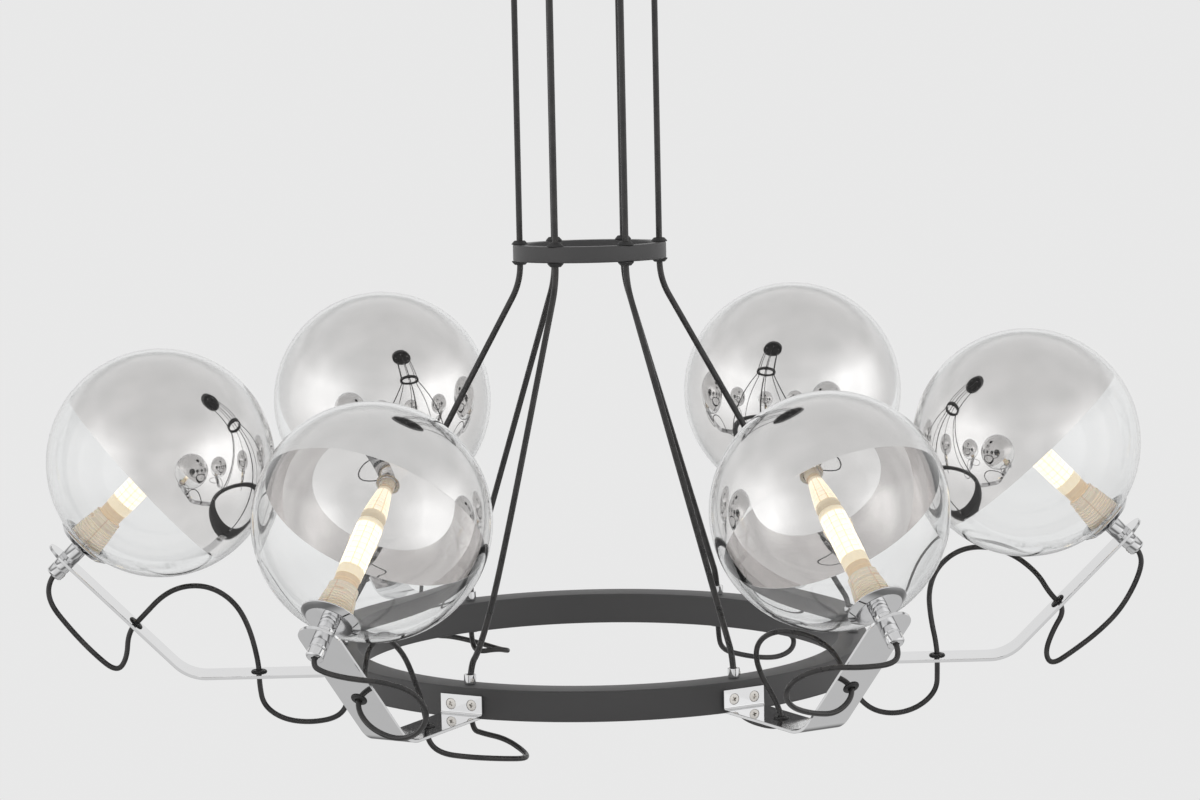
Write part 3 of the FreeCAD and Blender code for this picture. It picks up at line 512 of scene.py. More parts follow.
class Finishes:
    """Every material of the chandelier, made once."""

    def __init__(self) -> None:
        """Makes the materials."""
        chrome = Polished((0.80, 0.80, 0.805), (0.76, 0.76, 0.765), 0.035, 0.05, dents=0.00004)
        steel = Polished((0.66, 0.65, 0.63), (0.5, 0.49, 0.47), 0.2, 0.14, grain=0.1)
        nickel = Polished((0.74, 0.72, 0.69), (0.6, 0.57, 0.53), 0.13, 0.12, grain=0.06)
        brass = Polished((0.72, 0.52, 0.22), (0.58, 0.4, 0.16), 0.22, 0.15)
        rubber = Moulded((0.014, 0.014, 0.0145), (0.024, 0.023, 0.023), 0.5)
        block = Moulded((0.78, 0.78, 0.75), (0.7, 0.69, 0.66), 0.45)
        crimp = Moulded((0.5, 0.5, 0.48), (0.42, 0.42, 0.4), 0.5)
        foot = LitPlastic((0.82, 0.64, 0.44), (1.0, 0.80, 0.55), (0.95, 0.72, 0.46), 0.25)
        core = LitPlastic((0.80, 0.70, 0.52), (1.0, 0.88, 0.66), (0.98, 0.82, 0.58), 0.52)
        chips = LitPlastic((0.85, 0.78, 0.62), (1.0, 0.94, 0.80), (1.0, 0.88, 0.68), 1.0)
        self.by_slot: dict[Slot, bpy.types.Material] = {
            Slot.BLACK_PAINT: SatinPaint().make("black_paint"),
            Slot.CHROME: chrome.make("chrome"),
            Slot.SCREW_STEEL: nickel.make("screw_steel"),
            Slot.BLACK_RUBBER: rubber.make("black_rubber"),
            Slot.BLACK_CORD: Sheath().make("black_cord"),
            Slot.HOLDER_PLASTIC: HolderPlastic().make("holder_plastic"),
            Slot.BULB_PLASTIC: core.make("bulb_body"),
            Slot.GLOBE_GLASS: BlownGlass().make("globe_glass"),
            Slot.TERMINAL_PLASTIC: block.make("terminal_plastic"),
            Slot.CONNECTOR_PLASTIC: crimp.make("connector_plastic"),
            Slot.BRASS_CONTACT: brass.make("brass_contact"),
            Slot.PLATED_STEEL: steel.make("plated_steel"),
        }
        self.mirror = MirrorCoat().make("mirror_coat")
        self.bulb_base = foot.make("bulb_base")
        self.chips = chips.make("bulb_chips")

    def __getitem__(self, slot: Slot) -> bpy.types.Material:
        """The material of a slot."""
        return self.by_slot[slot]


# ---- mesh making ----
def soften(corners: Sequence[Point2], reach: float, steps: int = 3) -> list[Point2]:
    """Rounds the corners of a closed outline.

    Args:
        corners: (radius, height) corners. Those on the axis stay sharp.
        reach: How far from its corner a rounding starts.
        steps: Steps in each rounding.

    Returns:
        The rounded outline.
    """
    outline: list[Point2] = []
    for i, corner in enumerate(corners):
        if corner[0] < AXIS:
            outline.append(corner)
            continue
        here = Vector(corner)
        ends = []
        for other in (corners[i - 1], corners[(i + 1) % len(corners)]):
            way = Vector(other) - here
            ends.append(here + way.normalized() * min(reach, 0.45 * way.length))
        for step in range(steps + 1):
            t = step / steps
            spot = ends[0].lerp(here, t).lerp(here.lerp(ends[1], t), t)
            outline.append((spot.x, spot.y))
    return outline


def lathe(outline: Sequence[Point2], steps: int = 96) -> Mesh:
    """Turns a closed outline round Z.

    Args:
        outline: (radius, height) points. Points on the axis become poles.
        steps: Steps round the axis.

    Returns:
        The turned mesh, with its outline map.
    """
    mesh = bmesh.new()
    rows = []
    for radius, height in outline:
        if radius < AXIS:
            rows.append([mesh.verts.new((0, 0, height))])
            continue
        row = []
        for step in range(steps):
            turn = 2 * math.pi * step / steps
            row.append(mesh.verts.new((radius * math.cos(turn), radius * math.sin(turn), height)))
        rows.append(row)
    lengths = [0.0]
    for first, second in zip(outline, [*outline[1:], outline[0]]):
        lengths.append(lengths[-1] + math.dist(first, second))
    layer = mesh.loops.layers.uv.new("outline")
    for i, row in enumerate(rows):
        after = rows[(i + 1) % len(rows)]
        if len(row) == 1 and len(after) == 1:
            continue
        for step in range(steps):
            beside = (step + 1) % steps
            ring = [row[step % len(row)], row[beside % len(row)]]
            ring += [after[beside % len(after)], after[step % len(after)]]
            turns = [step / steps, (step + 1) / steps, (step + 1) / steps, step / steps]
            along = [lengths[i], lengths[i], lengths[i + 1], lengths[i + 1]]
            marks = dict(zip(ring, zip(turns, along)))
            face = mesh.faces.new(list(dict.fromkeys(ring)))
            for loop in face.loops:
                loop[layer].uv = marks[loop.vert]
    bmesh.ops.recalc_face_normals(mesh, faces=mesh.faces)
    return mesh


def put(mesh: Mesh, place: Matrix) -> Mesh:
    """Moves a mesh by a matrix."""
    mesh.transform(place)
    return mesh


def joined(parts: Iterable[Mesh]) -> Mesh:
    """One mesh of several, which are used up."""
    whole = bmesh.new()
    whole.loops.layers.uv.new("outline")
    for part in parts:
        data = bpy.data.meshes.new("part")
        part.to_mesh(data)
        whole.from_mesh(data)
        bpy.data.meshes.remove(data)
        part.free()
    return whole


def copied(mesh: Mesh, place: Matrix) -> Mesh:
    """A copy of a mesh, moved by a matrix."""
    return put(mesh.copy(), place)


def linked(name: str, data: bpy.types.ID) -> bpy.types.Object:
    """A new object of the scene that holds a mesh, a curve, a lamp or a camera."""
    made = bpy.data.objects.new(name, data)
    bpy.context.scene.collection.objects.link(made)
    return made


def to_object(
    name: str, mesh: Mesh, material: bpy.types.Material | None, crease: float = 32.0
) -> bpy.types.Object:
    """Makes an object at the origin of a mesh in millimetres.

    Args:
        name: The object's name.
        mesh: The mesh, which is used up.
        material: Its material, or None for a cutter.
        crease: The angle in degrees over which an edge stays sharp.

    Returns:
        The object, in metres.
    """
    mesh.transform(Matrix.Scale(MM, 4))
    data = bpy.data.meshes.new(name)
    mesh.to_mesh(data)
    mesh.free()
    if material:
        data.materials.append(material)
    data.polygons.foreach_set("use_smooth", [True] * len(data.polygons))
    data.set_sharp_from_angle(angle=math.radians(crease))
    return linked(name, data)


def move_millimetres(made: bpy.types.Object, place: Matrix) -> None:
    """Moves an object's mesh, which is in metres, by a matrix in millimetres."""
    made.data.transform(Matrix.Scale(MM, 4) @ place @ Matrix.Scale(1 / MM, 4))


def drop_object(spent: bpy.types.Object) -> None:
    """Deletes an object and its mesh."""
    data = spent.data
    bpy.data.objects.remove(spent)
    bpy.data.meshes.remove(data)


def grommet_outline(
    bore: float, lip_r: float, flange: float, neck: float, half: float, edge: float, lip: float
) -> list[Point2]:
    """The sharp outline of a rubber grommet with the same flange on both faces of a wall.

    Args:
        bore: The radius of its bore.
        lip_r: The radius of each flange's outer rim.
        flange: The radius of each flange.
        neck: The radius inside the wall.
        half: Half the wall.
        edge: The height of each flange's upright edge.
        lip: How far each flange stands proud of the wall.

    Returns:
        The (radius, height) corners.
    """
    lower = [(bore, -half - lip), (lip_r, -half - lip), (flange, -half - edge), (flange, -half)]
    lower.append((neck, -half))
    return lower + [(radius, -height) for radius, height in reversed(lower)]


def carved(made: bpy.types.Object, cutter: bpy.types.Object) -> bpy.types.Object:
    """Cuts one object with another and keeps the result as plain mesh.

    Args:
        made: The object to cut.
        cutter: The cutting object, which is removed.

    Returns:
        The cut object.
    """
    knife = made.modifiers.new("cut", "BOOLEAN")
    knife.object = cutter
    knife.solver = "EXACT"
    return baked(made, [cutter])


def baked(made: bpy.types.Object, helpers: Sequence[bpy.types.Object] = ()) -> bpy.types.Object:
    """Turns an object's modifiers into plain mesh.

    Args:
        made: The object.
        helpers: Objects that only its modifiers needed, which are removed.

    Returns:
        The same object, with no modifiers.
    """
    graph = bpy.context.evaluated_depsgraph_get()
    data = bpy.data.meshes.new_from_object(made.evaluated_get(graph), depsgraph=graph)
    old = made.data
    made.modifiers.clear()
    made.data = data
    bpy.data.meshes.remove(old)
    for helper in helpers:
        drop_object(helper)
    data.name = made.name
    return made


class Copies:
    """Geometry Nodes that repeat one piece round the Z axis and along it."""

    def __init__(self, name: str, material: bpy.types.Material) -> None:
        """Builds the tree.

        Args:
            name: The tree's name.
            material: The material that the copies get.
        """
        tree = bpy.data.node_groups.new(name, "GeometryNodeTree")
        self.tree = tree
        face = tree.interface
        face.new_socket("Piece", in_out="INPUT", socket_type="NodeSocketGeometry")
        self.inputs = {
            title: face.new_socket(title, in_out="INPUT", socket_type=kind).identifier
            for title, kind in (
                ("Round", "NodeSocketInt"),
                ("Turn", "NodeSocketFloat"),
                ("Rows", "NodeSocketInt"),
                ("Pitch", "NodeSocketFloat"),
            )
        }
        face.new_socket("Copies", in_out="OUTPUT", socket_type="NodeSocketGeometry")
        start = self._node("NodeGroupInput")
        line = self._node("GeometryNodeMeshLine")
        total = self._node("ShaderNodeMath", operation="MULTIPLY")
        index = self._node("GeometryNodeInputIndex")
        place = self._node("GeometryNodeInstanceOnPoints")
        around = self._node("ShaderNodeMath", operation="MODULO")
        row = self._node("ShaderNodeMath", operation="DIVIDE")
        floor = self._node("ShaderNodeMath", operation="FLOOR")
        turn = self._node("ShaderNodeMath", operation="MULTIPLY")
        rise = self._node("ShaderNodeMath", operation="MULTIPLY")
        spin = self._node("ShaderNodeCombineXYZ")
        lift = self._node("ShaderNodeCombineXYZ")
        shift = self._node("GeometryNodeSetPosition")
        real = self._node("GeometryNodeRealizeInstances")
        paint = self._node("GeometryNodeSetMaterial")
        end = self._node("NodeGroupOutput")
        line.mode = "OFFSET"
        line.inputs["Offset"].default_value = (0, 0, 0)
        paint.inputs["Material"].default_value = material
        links = (
            (start.outputs["Round"], total.inputs[0]),
            (start.outputs["Rows"], total.inputs[1]),
            (total.outputs[0], line.inputs["Count"]),
            (index.outputs[0], around.inputs[0]),
            (start.outputs["Round"], around.inputs[1]),
            (index.outputs[0], row.inputs[0]),
            (start.outputs["Round"], row.inputs[1]),
            (row.outputs[0], floor.inputs[0]),
            (around.outputs[0], turn.inputs[0]),
            (start.outputs["Turn"], turn.inputs[1]),
            (floor.outputs[0], rise.inputs[0]),
            (start.outputs["Pitch"], rise.inputs[1]),
            (turn.outputs[0], spin.inputs["Z"]),
            (rise.outputs[0], lift.inputs["Z"]),
            (line.outputs[0], shift.inputs["Geometry"]),
            (lift.outputs[0], shift.inputs["Offset"]),
            (shift.outputs[0], place.inputs["Points"]),
            (start.outputs["Piece"], place.inputs["Instance"]),
            (spin.outputs[0], place.inputs["Rotation"]),
            (place.outputs[0], real.inputs[0]),
            (real.outputs[0], paint.inputs["Geometry"]),
            (paint.outputs[0], end.inputs[0]),
        )
        for source, target in links:
            tree.links.new(source, target)

    def _node(self, kind: str, **settings: object) -> bpy.types.Node:
        """Adds a node with its settings."""
        node = self.tree.nodes.new(kind)
        for key, value in settings.items():
            setattr(node, key, value)
        return node

    def repeat(
        self, made: bpy.types.Object, count: int, turn: float, rows: int = 1, pitch: float = 0.0
    ) -> bpy.types.Object:
        """Repeats an object's mesh and bakes the copies.

        Args:
            made: The object, at the origin.
            count: Copies round the axis.
            turn: The angle from one copy to the next, in radians.
            rows: Rows of copies along the axis.
            pitch: The distance from row to row, in metres.

        Returns:
            The same object, with all copies in its mesh.
        """
        modifier = made.modifiers.new("copies", "NODES")
        modifier.node_group = self.tree
        for title, value in (("Round", count), ("Turn", turn), ("Rows", rows), ("Pitch", pitch)):
            modifier[self.inputs[title]] = value
        return baked(made)


@dataclass
class Workshop:
    """What every sub-assembly needs: its finishes, and a way to hand a piece over."""

    finishes: Finishes
    count: int = 0

    def hand_over(
        self, piece: bpy.types.Object, slot: Slot, *nodes: str, body: str = Body.FRAME.value
    ) -> bpy.types.Object:
        """Declares a finished piece.

        Args:
            piece: The piece.
            slot: The piece's material slot. Not used.
            nodes: The solids that it stands for.
            body: The body that it rides on.

        Returns:
            The piece.
        """
        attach(piece, body)
        if nodes:
            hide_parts(*nodes)
        self.count += 1
        LOG.info("%s stands for %s on %s", piece.name, ", ".join(nodes) or "no solid", body)
        return piece

    def round_arms(self, name: str, mesh: Mesh, slot: Slot, node: str) -> bpy.types.Object:
        """Repeats a piece of the arm's frame at every arm, as one object.

        Args:
            name: The object's name.
            mesh: The piece in the arm's frame.
            slot: Its material slot.
            node: The solids that it stands for.

        Returns:
            The object.
        """
        material = self.finishes[slot]
        turn = 2 * math.pi / LAYOUT.arm_count
        made = to_object(name, put(mesh, Matrix.Rotation(LAYOUT.heading(0), 4, "Z")), material)
        Copies(f"{name}_copies", material).repeat(made, LAYOUT.arm_count, turn)
        made.data.transform(Matrix.Translation((0, 0, -LAYOUT.drop * MM)))
        return self.hand_over(made, slot, node)


# ---- camera and studio ----
@dataclass(frozen=True)
class PhotoCamera:
    """The long lens that the photograph was taken with."""

    image_width: float = 1200.0
    focal_pixels: float = 6677.0
    yaw: float = 0.891
    pitch: float = 8.866
    roll: float = -1.216
    offset: Point3 = (-1.20, 166.58, 4397.6)
    sensor: float = 36.0
    near: float = 0.1
    far: float = 60.0

    def make(self) -> None:
        """Makes the camera and sets it as the scene's."""
        base = Matrix(((1, 0, 0), (0, 0, -1), (0, 1, 0)))
        turn = Matrix.Rotation(math.radians(self.roll), 3, "Z")
        turn = turn @ Matrix.Rotation(math.radians(self.pitch), 3, "X") @ base
        turn = turn @ Matrix.Rotation(math.radians(self.yaw), 3, "Z")
        spot = -(turn.transposed() @ Vector(self.offset)) - Vector((0, 0, LAYOUT.drop))
        axes = Matrix((turn[0], -turn[1], -turn[2])).transposed()
        data = bpy.data.cameras.new("photo_camera")
        data.sensor_width = self.sensor
        data.lens = self.focal_pixels / self.image_width * self.sensor
        data.clip_start = self.near
        data.clip_end = self.far
        camera = linked("photo_camera", data)
        camera.matrix_world = Matrix.Translation(spot * MM) @ axes.to_4x4()
        bpy.context.scene.camera = camera


@dataclass(frozen=True)
class Studio:
    """A pale room with soft light from all round, in metres.

    Each tone of the room fades in over a range of a direction's X, Y or Z. A band holds the
    height of its middle, and how far from that it is still full and where it ends.
    """

    backdrop: float = 0.81
    level: float = 0.90
    front: float = 0.84
    sides: float = 1.10
    side_fade: Point2 = (0.30, 0.80)
    side_curve: float = 1.5
    glare: float = 0.16
    back: float = 0.82
    back_fade: Point2 = (-0.15, 0.55)
    ceiling: float = 0.76
    ceiling_fade: Point2 = (0.30, 0.75)
    ground: float = 0.56
    pale_ground: float = 0.86
    ground_fade: Point2 = (0.05, 0.6)
    unevenness: float = 0.16
    cloud_waves: float = 1.7
    band: float = 0.72
    low_band: Point3 = (-0.50, 0.05, 0.24)
    high_band: Point3 = (0.46, 0.03, 0.14)
    floor_height: float = -1.55
    floor_radius: float = 2.2
    floor_tones: Point2 = (0.80, 0.84)
    lamp_size: Point2 = (1.7, 1.7 * 1.3)
    lamp_power: float = 22.0
    lamp_aim: Point3 = (0, 0, -0.4)

    def make(self) -> None:
        """Makes the world, the floor and the lamps."""
        self._world()
        self._floor()
        self._softbox("softbox_left", (-2.6, -1.9, 1.2))
        self._softbox("softbox_right", (2.7, -1.7, 1.1))

    def _world(self) -> None:
        """A plain backdrop for the eye, and for reflections a room with bright sides."""
        world = bpy.data.worlds.new("studio")
        bpy.context.scene.world = world
        tree = Tree(world)
        path = tree.add("LightPath").socket.node.outputs
        through = Wire(tree, path["Is Transmission Ray"])
        mirrored = Wire(tree, path["Glossy Depth"]).clamped(0.0, 1.0)
        seen = (Wire(tree, path["Is Camera Ray"]) + through * (1.0 - mirrored)).clamped(0.0, 1.0)
        room = self._room(tree, through)
        tone = mirrored * (room - self.level) + self.level
        tone = tone + seen * (self.backdrop - tone)
        light = tree.add("Background", {}, {"Color": (1.0, 1.0, 1.0, 1.0), "Strength": tone})
        tree.add("OutputWorld", {}, {0: light})

    def _room(self, tree: Tree, through: Wire) -> Wire:
        """The room that bright metal reflects.

        Args:
            tree: The world's tree.
            through: 1 for what comes through the globes' glass, which is paler and has no
                darker bands above and below eye level.

        Returns:
            The tone in each direction.
        """
        way = tree.add("TexCoord", output="Generated")
        east, north, up = tree.parts(way)
        side = east.size().clamped(*self.side_fade) ** self.side_curve
        room = side * (through * self.glare + (self.sides - self.front)) + self.front
        room = room + north.clamped(*self.back_fade) * (self.back - room)
        room = room + up.clamped(*self.ceiling_fade) * (self.ceiling - room)
        ground = through * (self.pale_ground - self.ground) + self.ground
        room = room + (0.0 - up).clamped(*self.ground_fade) * (ground - room)
        values = {"Vector": way, "Scale": self.cloud_waves, "Detail": 1.0}
        cloud = tree.add("TexNoise", {}, values)
        room = room * (cloud * (2 * self.unevenness) + (1.0 - self.unevenness))
        for height, inner, outer in (self.low_band, self.high_band):
            shade = 1.0 - (up - height).size().clamped(inner, outer)
            room = room * (1.0 - shade * (1.0 - through) * self.band)
        return room

    def _floor(self) -> None:
        """A round pale floor well below the chandelier."""
        disc = bmesh.new()
        bmesh.ops.create_circle(disc, cap_ends=True, segments=96, radius=self.floor_radius)
        data = bpy.data.meshes.new("studio_floor")
        disc.to_mesh(data)
        disc.free()
        data.transform(Matrix.Translation((0, 0, self.floor_height)))
        floor = linked("studio_floor", data)
        tree = Tree.of_material("studio_floor")
        dark, light = ((tone, tone, tone) for tone in self.floor_tones)
        paint = tree.blend(tree.noise(2.0, 2.0), dark, light)
        data.materials.append(tree.finish(base_color=paint, roughness=0.8))
        floor.visible_glossy = False
        floor.visible_transmission = False

    def _softbox(self, name: str, spot: Point3) -> None:
        """A large soft lamp that faces the chandelier."""
        data = bpy.data.lights.new(name, "AREA")
        data.shape = "RECTANGLE"
        data.size, data.size_y = self.lamp_size
        data.energy = self.lamp_power
        lamp = linked(name, data)
        lamp.visible_glossy = False
        lamp.visible_transmission = False
        aim = Vector(self.lamp_aim) - Vector(spot)
        lamp.location = spot
        lamp.rotation_mode = "QUATERNION"
        lamp.rotation_quaternion = aim.to_track_quat("-Z", "Y")


# ---- cords ----
@dataclass(frozen=True)
class Lead:
    """A lamp's lead: its length, and its points outside, above and under the strap."""

    length: float
    outer: tuple[Point3, ...]
    arch: tuple[Point3, ...]
    under: tuple[Point3, ...]


@dataclass
class Cords:
    """The lamp leads and the suspension cords."""

    shop: Workshop
    lead_d: float = 3.5
    suspension_d: float = 4.0
    relief_start: Point3 = (352.85, 0, 64.65)
    relief_face: Point3 = (356.73, 0, 60.77)
    lead_out: Point3 = (359.56, 0, 57.94)
    rising_in: Point3 = (308.54, 0, 22.05)
    rising_out: Point3 = (298.29, 0, 32.31)
    level_in: Point3 = (223.4, 0, -1.5)
    level_out: Point3 = (223.4, 0, -16)
    tuck: float = -14.85
    ring_in: Point3 = (168, 0, -19)
    ring_end: Point3 = (168, 0, -3)
    gland_top: float = 21.6
    gland_mouth: float = 16.6
    spacer_r: float = 45.5
    guide: tuple[float, ...] = (247.83, 251.06, 251.06, 247.83, 244.61, 244.61)
    cord_end: float = 3.0
    canopy_end: float = 451.7
    straight: float = 24.0
    gland_straight: float = 18.6
    leads: tuple[Lead, ...] = field(default_factory=lambda: LEADS)
    bows: tuple[tuple[Point2, ...], ...] = ((), ((155, 30), (128, 72)), (), (), (), ())

    def build(self) -> None:
        """Makes the twelve cords."""
        for arm in LAYOUT.arms():
            self._lead(arm, self.leads[arm])
        for arm in LAYOUT.arms():
            self._suspension(arm)

    def _lead(self, arm: int, lead: Lead) -> None:
        """Makes one lamp's lead."""
        points = [self.relief_start, self.lead_out, *lead.outer, self.rising_in, self.rising_out]
        points += [*lead.arch, self.level_in]
        if lead.under:
            points += [self.level_out, *lead.under, self.ring_in]
        else:
            points += [(self.level_in[0], 0, self.tuck), (self.ring_in[0], 0, self.tuck)]
        points.append(self.ring_end)
        name = f"lamp_lead_{arm + 1}"
        cord = self._curve(f"lead_{arm + 1}", arm, points, self.lead_d)
        self.shop.hand_over(cord, Slot.BLACK_CORD, name)

    def _suspension(self, arm: int) -> None:
        """Makes one suspension cord."""
        guide = Vector((self.spacer_r, 0, self.guide[arm]))
        bend = Vector((self.ring_end[0], 0, self.gland_top))
        bows = [Vector((x, 0, z)) for x, z in self.bows[arm]]
        before = bows[-1] if bows else bend
        slope = (guide - before).normalized()
        first = ((bows[0] if bows else guide) - bend).normalized()
        points = [Vector((bend.x, 0, self.cord_end)), bend]
        if not bows:
            points.append(bend + first * self.gland_straight)
        points += bows
        points += [guide - slope * self.straight, guide, guide + Vector((0, 0, self.straight))]
        points.append(Vector((self.spacer_r, 0, self.canopy_end)))
        name = f"suspension_cord_{arm + 1}"
        cord = self._curve(f"hanging_cord_{arm + 1}", arm, points, self.suspension_d)
        self.shop.hand_over(cord, Slot.BLACK_CORD, name)
        length = sum((b - a).length for a, b in zip(points, points[1:]))

    def _curve(
        self, name: str, arm: int, points: Sequence[Sequence[float]], diameter: float
    ) -> bpy.types.Object:
        """Makes a round cord along control points of an arm's frame.

        Args:
            name: The curve's name.
            arm: The arm's number.
            points: The control points.
            diameter: The cord's diameter.

        Returns:
            The curve object.
        """
        data = bpy.data.curves.new(name, "CURVE")
        data.dimensions = "3D"
        data.resolution_u = 14
        data.bevel_depth = diameter / 2 * MM
        data.bevel_resolution = 7
        data.use_fill_caps = True
        spline = data.splines.new("NURBS")
        spline.points.add(len(points) - 1)
        for point, spot in zip(spline.points, points):
            point.co = (*(LAYOUT.arm(arm) @ Vector(spot) * MM), 1.0)
        spline.order_u = 3
        spline.use_endpoint_u = True
        data.materials.append(self.shop.finishes[Slot.BLACK_CORD])
        return linked(name, data)


LEADS: tuple[Lead, ...] = (
    Lead(
        360.7,
        ((360.2, 0, 43), (347.4, 0, 25.5), (332, 1, 8.3), (317, 0, -5.2), (310, 0, 3.6)),
        ((285, 0, 46), (270, 0, 52), (253, 0, 50.5), (238, 0, 40), (229, 0, 23)),
        ((221, 0, -30), (208, 0, -39.5), (190, 0, -42), (172, 0, -39), (165, 0, -29)),
    ),
    Lead(
        473.3,
        ((361.5, 9, 54), (362, 28, 51.5), (356, 50, 50), (347, 66, 43), (338, 70, 28),
         (330, 57, 13), (322, 36, 6.5), (315, 13, 11)),
        ((291, -3, 46), (280, -6, 55), (264, -5, 58), (248, -2, 46), (236, -1, 27)),
        ((217, 6, -25), (203, 19, -29), (186, 34, -32), (167, 40, -35), (153, 31, -34.5),
         (152, 16, -27), (160, 4, -23)),
    ),
    Lead(
        410.3,
        ((365, -7, 51), (363, -29, 51), (356, -48, 52.5), (348, -66, 48), (339, -71, 37),
         (330, -61, 25), (322, -40, 17), (315, -17, 13)),
        ((286, 2, 43), (270, 0, 50.5), (252, -5, 53.5), (234, -13, 52), (218, -15, 41),
         (211, -9, 23)),
        (),
    ),
    Lead(
        429.3,
        ((357.5, 0, 43.5), (345.6, 0, 21.5), (330, 0, 6), (313, 0, -6.5), (299, 0, -15.5),
         (294.5, 0, -7.5), (299.5, 0, 7)),
        ((291, 7, 45), (276, 20, 56), (258, 25, 61), (240, 22, 59.5), (225, 13, 50),
         (218.5, 5, 35.5), (219.5, 1, 18)),
        ((223, 0, -30), (212, 0, -41), (196, 0, -46), (180, 0, -43), (169, 0, -32)),
    ),
    Lead(
        391.4,
        ((360, 1, 43), (348, 2, 24), (334, 2, 8), (319, 0, -5), (308, 0, 2)),
        ((286, 0, 46), (272, 0, 54), (254, 0, 53), (239, 0, 43), (228, 0, 25)),
        ((222, -9, -24), (229, -18, -25), (234, -24, -29), (230, -25, -37),
         (217, -21, -40.5), (201, -15, -38.5), (186, -6, -34), (174, 0, -29)),
    ),
    Lead(
        398.6,
        ((360, -1, 43), (348, -2, 24), (333, -2, 8), (317, 0, -6), (307, 0, 2)),
        ((287, 1, 46), (274, 3, 53), (257, 5, 55), (240, 4, 51.5), (228, 2, 39), (222, 1, 22)),
        ((216, 2, -21.5), (201, -3, -20), (186, -14, -23), (168, -24, -27), (154, -22, -25),
         (151, -10, -22), (158, 1, -24)),
    ),
)


# ---- ring ----
@dataclass
class Ring:
    """The square-tube ring with its glands and grommets."""

    shop: Workshop
    outer_r: float = 178.0
    section: float = 20.0
    corner: float = 1.3
    gland_d: float = 7.8
    gland_height: float = 6.6
    gland_bore: float = 4.3
    waist: float = 0.5
    waist_height: float = 0.6
    chamfer: float = 0.1
    neck_d: float = 5.8
    neck: float = 5.0
    grommet_flange_d: float = 11.0
    grommet_neck_d: float = 8.0
    grommet_lip: float = 1.2
    grommet_edge: float = 0.4
    grommet_taper: float = 0.5
    grommet_bore: float = 4.5
    wall: float = 1.8

    def build(self) -> None:
        """Makes the ring's pieces."""
        half = self.section / 2
        inner = self.outer_r - self.section
        middle = self.outer_r - half
        corners = [(inner, -half), (self.outer_r, -half), (self.outer_r, half), (inner, half)]
        tube = lathe(soften(corners, self.corner, 4), 288)
        put(tube, Matrix.Translation((0, 0, -LAYOUT.drop)))
        made = to_object("ring", tube, self.shop.finishes[Slot.BLACK_PAINT])
        self.shop.hand_over(made, Slot.BLACK_PAINT, "ring_tube")
        gland = put(lathe(self._gland(), 48), Matrix.Translation((middle, 0, half)))
        self.shop.round_arms("glands", gland, Slot.CHROME, "ring_glands")
        rubber = put(lathe(self._grommet(), 48), Matrix.Translation((middle, 0, -half)))
        self.shop.round_arms("ring_rubbers", rubber, Slot.BLACK_RUBBER, "ring_grommets")

    def _gland(self) -> list[Point2]:
        """The outline of a cord gland, with a narrow waist at its foot."""
        bore, radius, top = self.gland_bore / 2, self.gland_d / 2, self.gland_height
        waist, chamfer = radius - self.waist, self.chamfer
        corners = [(bore, -self.neck), (self.neck_d / 2, -self.neck), (self.neck_d / 2, 0)]
        corners += [(waist, 0), (waist, self.waist_height), (radius, self.waist_height)]
        corners += [(radius, top - chamfer), (radius - chamfer, top), (bore, top)]
        return soften(corners, 0.3, 3)

    def _grommet(self) -> list[Point2]:
        """The outline of a rubber grommet in the ring's lower wall."""
        bore, flange, lip = self.grommet_bore / 2, self.grommet_flange_d / 2, self.grommet_lip
        neck, wall = self.grommet_neck_d / 2, self.wall
        corners = [(bore, -lip), (flange - self.grommet_taper, -lip)]
        corners += [(flange, -self.grommet_edge), (flange, 0), (neck, 0), (neck, wall)]
        corners += [(flange, wall), (flange, wall + lip), (bore, wall + lip)]
        return soften(corners, 0.5, 4)


